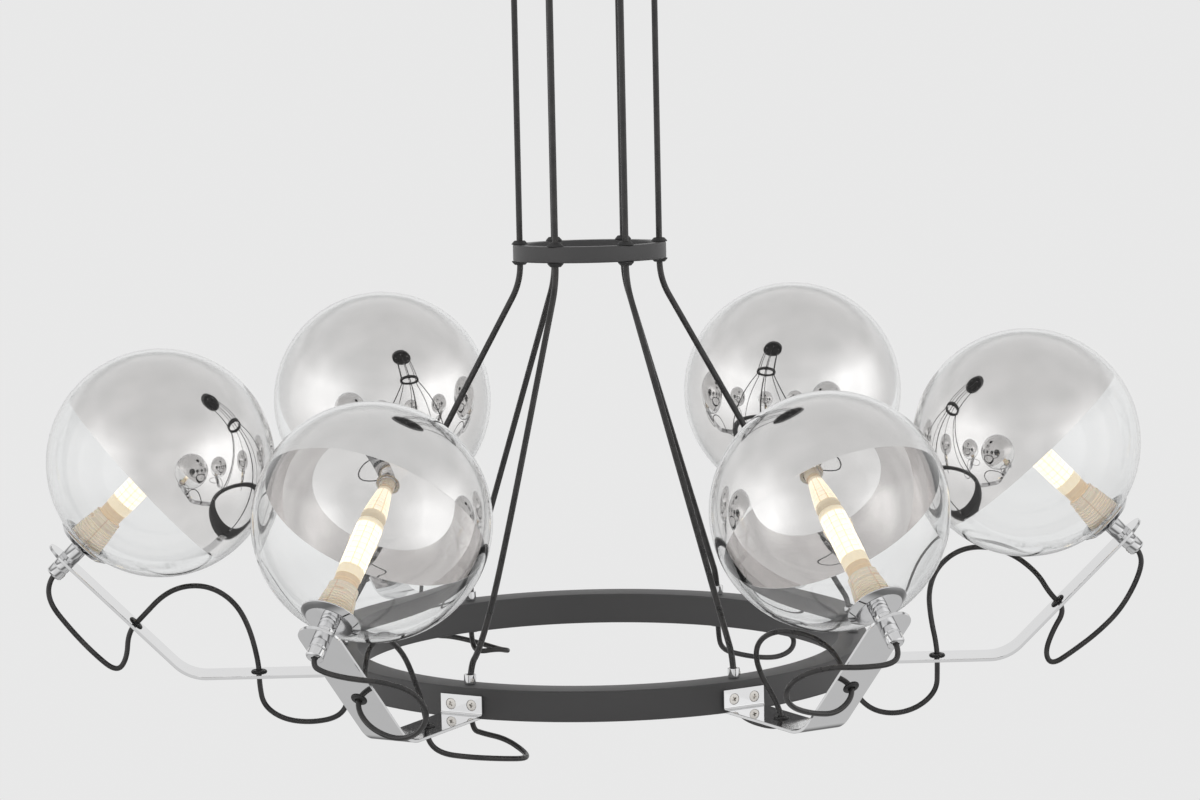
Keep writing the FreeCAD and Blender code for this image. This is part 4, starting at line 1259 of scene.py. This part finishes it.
# ---- arms ----
@dataclass
class Arm:
    """The bent chrome straps with their screws and grommets.

    A head's heights are measured from the strap's face. Each fold holds its radius and its
    number of steps.
    """

    shop: Workshop
    width: float = 30.0
    thickness: float = 2.0
    back_x: float = 178.05
    flange_top: float = 5.5
    floor: float = -8.0
    folds: tuple[tuple[float, int], ...] = ((2.6, 14), (30.0, 36))
    end_steps: int = 40
    least_side: float = 0.3
    edge: float = 0.22
    crease: float = 24.0
    corner_x: float = 269.3
    screw_z: float = -0.8
    screw_spacing: float = 15.0
    screw_turns: Point2 = (28.0, -14.0)
    screw_length: float = 6.0
    shank_d: float = 4.0
    head_d: float = 7.0
    head_rim: float = 0.35
    head_flat: float = 2.4
    head_rise: tuple[float, ...] = (0.12, 0.08, -0.22)
    head_slope: float = 0.25
    cross: Point3 = (4.2, 0.95, 2.4)
    cross_taper: float = 0.45
    seat_play: float = 0.12
    seat_rim: float = 0.45
    seat_bore_d: float = 4.2
    seat_top: float = 1.0
    seat_depth: float = 3.0
    level_grommet: float = 223.4
    rising_run: float = 49.0
    flange_d: float = 10.6
    neck_d: float = 7.0
    bore_d: float = 4.5
    lip: float = 1.3
    lip_edge: float = 0.4
    lip_taper: float = 0.7

    def build(self) -> None:
        """Makes the six straps and what is on them."""
        chrome = self.shop.finishes[Slot.CHROME]
        for arm in LAYOUT.arms():
            strap = to_object(f"strap_{arm + 1}", self._strap(arm), chrome)
            carved(strap, to_object("cutter", self._countersinks(arm), chrome))
            strap.data.set_sharp_from_angle(angle=math.radians(self.crease))
            self.shop.hand_over(strap, Slot.CHROME, f"arm_strap_{arm + 1}")
        self.shop.round_arms("strap_screws", self._screws(), Slot.SCREW_STEEL, "arm_screws")
        self.shop.round_arms("strap_rubbers", self._rubbers(), Slot.BLACK_RUBBER, "arm_grommets")

    @staticmethod
    def _rising_end() -> tuple[Vector, Vector]:
        """Where the stem crosses the rising end, and the way that end rises, both as (X, Z)."""
        tilt = math.radians(LAYOUT.lamp_tilt)
        stem = Vector((LAYOUT.strap_reach, LAYOUT.stem_rise))
        return stem, Vector((math.cos(tilt), math.sin(tilt)))

    def _path(self) -> list[tuple[Vector, Vector]]:
        """Points along the strap's mid-plane with the normal at each, in the XZ plane."""
        flange_x = self.back_x + self.thickness / 2
        stem, rise = self._rising_end()
        spots = [Vector((flange_x, self.flange_top)), Vector((flange_x, self.floor))]
        spots += [Vector((self.corner_x, self.floor)), stem]
        path: list[tuple[Vector, Vector]] = [(spots[0], Vector((1, 0)))]
        for i, (radius, steps) in enumerate(self.folds, 1):
            first = (spots[i] - spots[i - 1]).normalized()
            second = (spots[i + 1] - spots[i]).normalized()
            half = first.angle(second) / 2
            centre = spots[i] + (second - first).normalized() * (radius / math.cos(half))
            start = spots[i] - first * (radius * math.tan(half))
            for step in range(steps + 1):
                turn = Matrix.Rotation(2 * half * step / steps, 2)
                arrow = turn @ (start - centre)
                way = turn @ first
                path.append((centre + arrow, Vector((-way.y, way.x))))
        normal = Vector((-rise.y, rise.x))
        path.append((stem - rise * 0.01, normal))
        reach = self.width / 2
        for step in range(1, self.end_steps + 1):
            along = reach * math.sin(step / self.end_steps * math.pi / 2)
            path.append((stem + rise * along, normal))
        return path

    def _strap(self, arm: int) -> Mesh:
        """The strap with bevelled long edges and a round end."""
        mesh = bmesh.new()
        half, flat, edge = self.width / 2, self.thickness / 2, self.edge
        stem, rise = self._rising_end()
        rows = []
        for spot, normal in self._path():
            past = max(0.0, (spot - stem).dot(rise))
            side = math.sqrt(max(half * half - past * past, self.least_side**2))
            bevel = min(edge, side * 0.5)
            outline = [(-side + bevel, -flat), (side - bevel, -flat), (side, -flat + edge)]
            outline += [(side, flat - edge), (side - bevel, flat), (-side + bevel, flat)]
            outline += [(-side, flat - edge), (-side, -flat + edge)]
            row = []
            for across, out in outline:
                place = spot + normal * out
                row.append(mesh.verts.new((place.x, across, place.y)))
            rows.append(row)
        for first, second in zip(rows, rows[1:]):
            for i in range(len(first)):
                j = (i + 1) % len(first)
                mesh.faces.new((first[i], first[j], second[j], second[i]))
        mesh.faces.new(rows[0])
        mesh.faces.new(rows[-1][::-1])
        bmesh.ops.recalc_face_normals(mesh, faces=mesh.faces)
        return put(mesh, LAYOUT.arm(arm))

    def _on_screws(self, mesh: Mesh) -> Mesh:
        """Copies of a mesh at the flange's two screws, with Z turned outward."""
        outward = Matrix.Rotation(math.radians(90.0), 4, "Y")
        face_x = self.back_x + self.thickness
        parts = []
        for side, angle in zip((-1, 1), self.screw_turns):
            place = Matrix.Translation((face_x, side * self.screw_spacing / 2, self.screw_z))
            turn = Matrix.Rotation(math.radians(angle), 4, "Z")
            parts.append(copied(mesh, place @ outward @ turn))
        mesh.free()
        return joined(parts)

    def _countersinks(self, arm: int) -> Mesh:
        """What the two screws' seats cut out of the strap."""
        rim, bore = self.head_d / 2 + self.seat_play, self.seat_bore_d / 2
        outline = [(0, self.seat_top), (rim, self.seat_top), (rim, -self.seat_rim)]
        outline += [(bore, -self.seat_rim - (rim - bore)), (bore, -self.seat_depth)]
        outline.append((0, -self.seat_depth))
        return put(self._on_screws(lathe(outline, 48)), LAYOUT.arm(arm))

    def _screws(self) -> Mesh:
        """Two screws with a cross in each head."""
        rim, shank = self.head_d / 2, self.shank_d / 2
        middle, shoulder, edge = self.head_rise
        outline = [(0, middle), (self.head_flat, shoulder), (rim - self.head_slope, 0)]
        outline += [(rim, edge), (rim, -self.head_rim), (shank, -self.head_rim - (rim - shank))]
        outline += [(shank, -self.screw_length), (0, -self.screw_length)]
        head = to_object("screw", lathe(outline, 48), self.shop.finishes[Slot.SCREW_STEEL])
        for turn in (0.0, 90.0):
            bar = bmesh.new()
            bmesh.ops.create_cube(bar, size=1.0, matrix=Matrix.Diagonal((*self.cross, 1)))
            for vert in bar.verts:
                if vert.co.z < 0:
                    vert.co.x *= self.cross_taper
            put(bar, Matrix.Rotation(math.radians(turn), 4, "Z"))
            carved(head, to_object("cross", bar, None))
        mesh = bmesh.new()
        mesh.from_mesh(head.data)
        mesh.transform(Matrix.Scale(1 / MM, 4))
        drop_object(head)
        return self._on_screws(mesh)

    def _rubbers(self) -> Mesh:
        """The strap's two grommets."""
        flange = self.flange_d / 2
        corners = grommet_outline(
            self.bore_d / 2, flange - self.lip_taper, flange, self.neck_d / 2,
            self.thickness / 2, self.lip_edge, self.lip,
        )
        rubber = lathe(soften(corners, 0.55, 4), 48)
        tilt = math.radians(LAYOUT.lamp_tilt)
        rising_x = self.corner_x + self.rising_run * math.cos(tilt)
        rising_z = self.floor + self.rising_run * math.sin(tilt)
        lean = Matrix.Rotation(-tilt, 4, "Y")
        level = copied(rubber, Matrix.Translation((self.level_grommet, 0, self.floor)))
        rising = copied(rubber, Matrix.Translation((rising_x, 0, rising_z)) @ lean)
        rubber.free()
        return joined([level, rising])


# ---- lamps ----
@dataclass(frozen=True)
class Coating:
    """How one globe's mirror lies: its edge's place on the axis, and two small tilts."""

    edge: float = 80.0
    along: float = 0.0
    across: float = 0.0


@dataclass
class Lamp:
    """Everything along a lamp's axis, from its strain relief to its globe.

    A groove holds its distance from its piece's end, its width and its depth. The ribs of a
    holder follow a curve between thread and crown, and each rib's outline holds shares of its
    pitch with shares of its depth.
    """

    shop: Workshop
    strap_face: float = 1.0
    stem_d: float = 7.8
    stem_play: float = 0.1
    sleeve_d: float = 11.8
    sleeve_length: float = 12.8
    sleeve_groove: Point3 = (2.0, 0.6, 0.35)
    relief_d: float = 11.6
    relief_bore: float = 3.8
    relief_length: float = 12.2
    relief_round: float = 1.2
    relief_groove: Point3 = (5.0, 0.6, 0.4)
    cup_floor_d: float = 31.0
    cup_rim_d: float = 39.2
    cup_thickness: float = 1.2
    cup_depth: float = 2.2
    cup_rim: float = 0.6
    cup_slope: float = 0.4
    skirt_d: float = 25.4
    skirt_edge: Point2 = (1.3, 1.6)
    skirt_step: float = 0.35
    thread_d: float = 24.6
    thread_start: float = 1.9
    thread_curve: float = 1.4
    crown_d: float = 19.6
    crown: float = 5.0
    crown_steps: tuple[float, ...] = (0.25, 2.1, 2.4, 2.8, 3.1)
    crown_groove: float = 0.5
    crown_neck: float = 0.4
    crown_slope: float = 0.15
    crown_round: Point2 = (0.7, 0.5)
    dish: Point3 = (7.6, 7.2, 0.8)
    latch_size: Point3 = (1.0, 5.2, 2.4)
    latch_drop: float = 1.4
    latch_turns: Point2 = (20.0, 200.0)
    holder_length: float = 25.5
    rib_pitch: float = 1.9
    rib_depth: float = 0.8
    rib: tuple[Point2, ...] = ((0.0, 1.0), (0.2, 0.25), (0.42, 0.0), (0.62, 0.0), (0.85, 0.3))
    bulb_play: float = 0.05
    bulb_base_d: float = 15.8
    bulb_d: float = 16.6
    bulb_base: float = 7.0
    base_groove: tuple[float, ...] = (2.6, 2.8, 3.2, 3.4)
    base_groove_depth: float = 0.35
    bulb_band: float = 6.4
    bulb_length: float = 49.5
    bulb_cap: float = 3.8
    bulb_step: float = 0.3
    step_height: float = 0.2
    cap_round: Point2 = (1.6, 1.2)
    chip_rows: int = 8
    chip_columns: int = 10
    chip_share: float = 0.84
    chip_thickness: float = 0.5
    chip_sunk: float = 0.02
    chip_soft: float = 0.16
    pin_d: float = 1.9
    pin_length: float = 13.5
    pin_spacing: float = 9.0
    pin_tip: Point2 = (0.4, 0.5)
    globe_r: float = 75.0
    glass: float = 2.0
    globe_centre: float = 90.0
    mouth_play: float = 0.6
    mouth_bead: tuple[Point2, ...] = ((0.28, 0.55), (0.4, 0.0), (0.28, -0.55))
    mirror_gap: float = 0.25
    mirror_skin: float = 0.15
    crease: float = 60.0
    coatings: tuple[Coating, ...] = (
        Coating(75.5, -3.5, 3.0),
        Coating(93.0),
        Coating(84.0),
        Coating(84.5, 3.0, -3.0),
        Coating(80.0),
        Coating(80.0),
    )

    def __post_init__(self) -> None:
        """Works out the heights along the axis."""
        self.cup_bottom = self.strap_face + self.sleeve_length
        self.holder_bottom = self.cup_bottom + self.cup_thickness
        self.holder_top = self.holder_bottom + self.holder_length

    def build(self) -> None:
        """Makes the pieces of all six lamps."""
        self._metal()
        for arm in LAYOUT.arms():
            place = LAYOUT.arm(arm) @ LAYOUT.lamp()
            self._holder(arm, place)
            self._bulb(arm, place)
            self._globe(arm, place)

    def _metal(self) -> None:
        """The strain reliefs, sleeves and cups."""
        metal = {
            "reliefs": (self._relief(), 64, "strain_reliefs"),
            "sleeves": (self._sleeve(), 64, "lamp_sleeves"),
            "cups": (self._cup(), 128, "lamp_cups"),
        }
        for name, (outline, steps, node) in metal.items():
            mesh = put(lathe(outline, steps), LAYOUT.lamp())
            self.shop.round_arms(name, mesh, Slot.CHROME, node)

    @staticmethod
    def _groove(radius: float, end: float, groove: Point3) -> list[Point2]:
        """The corners of a groove below an end, from its low side up."""
        away, width, depth = groove
        low, high = end - (away + width), end - away
        return [(radius, low), (radius - depth, low), (radius - depth, high), (radius, high)]

    def _relief(self) -> list[Point2]:
        """The strain relief's outline, with a groove and a rounded end."""
        radius, bore, top = self.relief_d / 2, self.relief_bore / 2, -self.strap_face
        end, turn = top - self.relief_length, self.relief_round
        corners = [(bore, end), (radius - turn, end), (radius, end + turn)]
        corners += self._groove(radius, top, self.relief_groove)
        return soften([*corners, (radius, top), (bore, top)], 0.25, 3)

    def _sleeve(self) -> list[Point2]:
        """The sleeve's outline between strap and cup."""
        radius, bore, top = self.sleeve_d / 2, self.stem_d / 2 + self.stem_play, self.cup_bottom
        corners = [(bore, self.strap_face), (radius, self.strap_face)]
        corners += self._groove(radius, top, self.sleeve_groove)
        return soften([*corners, (radius, top), (bore, top)], 0.2, 3)

    def _cup(self) -> list[Point2]:
        """The shallow cup's outline."""
        floor_r, rim_r = self.cup_floor_d / 2, self.cup_rim_d / 2
        hole = self.stem_d / 2 + self.stem_play
        low, rim = self.holder_bottom, self.holder_bottom + self.cup_depth
        corners = [(hole, self.cup_bottom), (floor_r, self.cup_bottom)]
        corners += [(rim_r, rim - self.cup_rim), (rim_r, rim), (rim_r - self.cup_rim, rim)]
        return soften([*corners, (floor_r - self.cup_slope, low), (hole, low)], 0.3, 4)

    def _thread(self) -> list[Point2]:
        """The outline of a holder's ribs, from the skirt up to the crown."""
        low = self.holder_bottom + self.thread_start
        count = int((self.holder_top - self.crown - low) / self.rib_pitch)
        taper = (self.thread_d - self.crown_d) / 2 - self.crown_neck
        outline: list[Point2] = []
        for rib in range(count):
            start = low + rib * self.rib_pitch
            crest = self.thread_d / 2 - taper * (rib / count) ** self.thread_curve
            for share, depth in self.rib:
                outline.append((crest - depth * self.rib_depth, start + share * self.rib_pitch))
        return outline

    def _holder(self, arm: int, place: Matrix) -> None:
        """One ribbed lampholder with its two latches."""
        low, top, crown_low = self.holder_bottom, self.holder_top, self.holder_top - self.crown
        skirt, crown = self.skirt_d / 2, self.crown_d / 2
        edge, step = (low + height for height in self.skirt_edge)
        outline: list[Point2] = [(0, low), (skirt, low), (skirt, edge)]
        outline += [(skirt - self.skirt_step, step), *self._thread()]
        groove, slope = crown - self.crown_groove, crown - self.crown_slope
        first, second, third, fourth, fifth = (crown_low + height for height in self.crown_steps)
        outline += [(groove, crown_low), (crown, first), (crown, second), (groove, third)]
        outline += [(groove, fourth), (slope, fifth), (slope, top - self.crown_round[1])]
        outline += [(crown - self.crown_round[0], top)]
        rim, floor, depth = self.dish
        outline += [(rim, top), (floor, top - depth), (0, top - depth)]
        parts = [lathe(outline, 96)]
        for turn in self.latch_turns:
            tab = bmesh.new()
            bmesh.ops.create_cube(tab, size=1.0, matrix=Matrix.Diagonal((*self.latch_size, 1)))
            bmesh.ops.bevel(tab, geom=tab.edges[:], offset=0.2, segments=2, affect="EDGES")
            out = Matrix.Translation((slope, 0, crown_low - self.latch_drop))
            parts.append(put(tab, Matrix.Rotation(math.radians(turn), 4, "Z") @ out))
        mesh = put(joined(parts), place)
        made = to_object(f"holder_{arm + 1}", mesh, self.shop.finishes[Slot.HOLDER_PLASTIC])
        self.shop.hand_over(made, Slot.HOLDER_PLASTIC, f"lampholder_{arm + 1}")

    def _bulb(self, arm: int, place: Matrix) -> None:
        """One bulb: a plain base, a pale band, a core set with lit chips, and a cap."""
        low = self.holder_top + self.bulb_play
        base_top = low + self.bulb_base
        band_top = base_top + self.bulb_band
        top = low + self.bulb_length
        cap_low = top - self.bulb_cap
        radius, finishes = self.bulb_d / 2, self.shop.finishes
        parts = [lathe(self._base(low, base_top), 64)]
        for side in (-1, 1):
            pin = lathe(self._pin(low), 16)
            parts.append(put(pin, Matrix.Translation((0, side * self.pin_spacing / 2, 0))))
        foot = to_object(f"bulb_foot_{arm + 1}", put(joined(parts), place), finishes.bulb_base)
        recess = radius - self.bulb_step
        body = [(0, base_top), (radius, base_top), (radius, band_top)]
        body += [(recess, band_top + self.step_height), (recess, cap_low)]
        body += [(radius, cap_low + self.step_height), (radius, top - self.cap_round[1])]
        body += [(radius - self.cap_round[0], top), (0, top)]
        turned = put(lathe(soften(body, 0.7, 4), 64), place)
        core = to_object(f"bulb_core_{arm + 1}", turned, finishes[Slot.BULB_PLASTIC])
        first, last = band_top + self.bulb_step, cap_low - self.step_height
        chips = self._chips(arm, place, first, last, recess)
        number = Body.BULB.value.format(arm + 1)
        self.shop.hand_over(foot, Slot.BULB_PLASTIC, body=number)
        self.shop.hand_over(core, Slot.BULB_PLASTIC, f"bulb_{arm + 1}", body=number)
        self.shop.hand_over(chips, Slot.BULB_PLASTIC, body=number)

    def _base(self, low: float, top: float) -> list[Point2]:
        """The outline of a bulb's base, with a groove round it."""
        radius, step = self.bulb_base_d / 2, self.bulb_step
        groove = radius - self.base_groove_depth
        first, second, third, fourth = (low + height for height in self.base_groove)
        corners = [(0, low), (radius - step, low), (radius, low + step), (radius, first)]
        corners += [(groove, second), (groove, third), (radius, fourth), (radius, top)]
        return [*corners, (0, top)]

    def _pin(self, low: float) -> list[Point2]:
        """The outline of one of a bulb's pins, which ends inside its base."""
        radius, tip, top = self.pin_d / 2, low - self.pin_length, low + self.pin_tip[1]
        corners = [(0, tip), (radius - self.pin_tip[0], tip), (radius, tip + self.pin_tip[1])]
        return [*corners, (radius, top), (0, top)]

    def _chips(
        self, arm: int, place: Matrix, low: float, high: float, radius: float
    ) -> bpy.types.Object:
        """The lit chips round a bulb's core, as rows of soft-edged tiles.

        Args:
            arm: The arm's number.
            place: The lamp's frame.
            low: Where the first row starts.
            high: Where the last row ends.
            radius: The core's radius.

        Returns:
            The chips as one object.
        """
        pitch = (high - low) / self.chip_rows
        breadth = 2 * math.pi * radius / self.chip_columns
        tile = bmesh.new()
        size = (self.chip_thickness, breadth * self.chip_share, pitch * self.chip_share, 1)
        bmesh.ops.create_cube(tile, size=1.0, matrix=Matrix.Diagonal(size))
        edges = tile.edges[:]
        bmesh.ops.bevel(tile, geom=edges, offset=self.chip_soft, segments=2, affect="EDGES")
        put(tile, Matrix.Translation((radius - self.chip_sunk, 0, low + pitch / 2)))
        material = self.shop.finishes.chips
        made = to_object(f"bulb_chips_{arm + 1}", tile, material)
        turn = 2 * math.pi / self.chip_columns
        copies = Copies(f"chip_rows_{arm + 1}", material)
        copies.repeat(made, self.chip_columns, turn, self.chip_rows, pitch * MM)
        move_millimetres(made, place)
        return made

    def _globe(self, arm: int, place: Matrix) -> None:
        """One globe and the mirror inside it."""
        centre, outer, inner = self.globe_centre, self.globe_r, self.globe_r - self.glass
        mouth = self.skirt_d / 2 + self.mouth_play
        outline = self._arc(outer, math.asin(mouth / outer), math.pi, 88, centre)
        outline += self._arc(inner, math.pi, math.asin(mouth / inner), 88, centre)
        rim_low = centre - math.sqrt(outer**2 - mouth**2)
        rim_high = centre - math.sqrt(inner**2 - mouth**2)
        middle = (rim_low + rim_high) / 2
        outline += [(mouth - inward, middle + up) for inward, up in self.mouth_bead]
        finishes, turned = self.shop.finishes, put(lathe(outline, 160), place)
        glass = finishes[Slot.GLOBE_GLASS]
        shell = to_object(f"globe_glass_{arm + 1}", turned, glass, self.crease)
        number = Body.GLOBE.value.format(arm + 1)
        self.shop.hand_over(shell, Slot.GLOBE_GLASS, f"globe_{arm + 1}", body=number)
        coating = self.coatings[arm]
        start = math.acos(-(coating.edge - centre) / inner)
        face = inner - self.mirror_gap
        skin = self._arc(face, start, math.pi, 64, 0.0)
        skin += self._arc(face - self.mirror_skin, math.pi, start, 64, 0.0)
        lean = Matrix.Rotation(math.radians(coating.along), 4, "Y")
        lean = lean @ Matrix.Rotation(math.radians(coating.across), 4, "X")
        turned = put(lathe(skin, 160), place @ Matrix.Translation((0, 0, centre)) @ lean)
        mirror = to_object(f"globe_mirror_{arm + 1}", turned, finishes.mirror, self.crease)
        self.shop.hand_over(mirror, Slot.GLOBE_GLASS, body=number)

    @staticmethod
    def _arc(radius: float, start: float, end: float, steps: int, centre: float) -> list[Point2]:
        """Points of a circle about the axis, with angles measured from straight down."""
        arc = []
        for step in range(steps + 1):
            turn = start + (end - start) * step / steps
            arc.append((max(radius * math.sin(turn), 0.0), centre - radius * math.cos(turn)))
        return [(0.0, z) if r < 1e-4 else (r, z) for r, z in arc]


# ---- spacer and what keeps its solid's shape ----
@dataclass
class Spacer:
    """The small ring that gathers the cords."""

    shop: Workshop
    outer_r: float = 50.0
    width: float = 9.0
    height: float = 10.6
    rise: float = 267.0
    tilt: float = 4.7
    corner: float = 1.1
    flange_d: float = 10.6
    flange_top_d: float = 7.0
    flange_height: float = 2.6
    flange_edge: float = 0.6
    neck_d: float = 6.0
    bore_d: float = 5.8

    def build(self) -> None:
        """Makes the ring and its flared grommets."""
        half = self.height / 2
        inner = self.outer_r - self.width
        corners = [(inner, -half), (self.outer_r, -half), (self.outer_r, half), (inner, half)]
        lean = Matrix.Rotation(-math.radians(self.tilt), 4, "X")
        place = Matrix.Translation((0, 0, self.rise - LAYOUT.drop)) @ lean
        body = put(lathe(soften(corners, self.corner, 4), 144), place)
        made = to_object("spacer", body, self.shop.finishes[Slot.BLACK_PAINT])
        self.shop.hand_over(made, Slot.BLACK_PAINT, "spacer_ring")
        corners = grommet_outline(
            self.bore_d / 2, self.flange_top_d / 2, self.flange_d / 2, self.neck_d / 2,
            half, self.flange_edge, self.flange_height,
        )
        middle = self.outer_r - self.width / 2
        rubber = lathe(soften(corners, 0.5, 4), 48)
        first = Matrix.Rotation(LAYOUT.heading(0), 4, "Z") @ Matrix.Translation((middle, 0, 0))
        material = self.shop.finishes[Slot.BLACK_RUBBER]
        rubbers = to_object("spacer_rubbers", put(rubber, first), material)
        turn = 2 * math.pi / LAYOUT.arm_count
        Copies("spacer_copies", material).repeat(rubbers, LAYOUT.arm_count, turn)
        move_millimetres(rubbers, place)
        self.shop.hand_over(rubbers, Slot.BLACK_RUBBER, "spacer_grommets")


class CarriedOver:
    """The solids that keep their own shape and only get their finish."""

    def __init__(self, shop: Workshop) -> None:
        """Keeps the workshop."""
        self.shop = shop

    def dress(self) -> None:
        """Gives each solid that still shows the material of its slot."""
        slots = {row["node"]: row["material_slot"] for row in frame["record"]["subparts"]}
        for node, solid in frame["nodes"].items():
            if solid.hide_render:
                continue
            material = self.shop.finishes[Slot(slots[node])]
            for place in solid.material_slots:
                place.material = material
            if not solid.material_slots:
                solid.data.materials.append(material)
            LOG.info("%s keeps its shape", node)


def main() -> None:
    """Builds the scene in order."""
    logging.basicConfig(level=logging.INFO, format="%(name)s: %(message)s")
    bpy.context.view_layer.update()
    PhotoCamera().make()
    shop = Workshop(Finishes())
    Cords(shop).build()
    Studio().make()
    for assembly in (Ring(shop), Arm(shop), Lamp(shop), Spacer(shop)):
        assembly.build()
    CarriedOver(shop).dress()
    bpy.context.scene.view_settings.view_transform = "Standard"
    LOG.info("%d pieces handed over", shop.count)


if __name__ == "__main__":
    main()
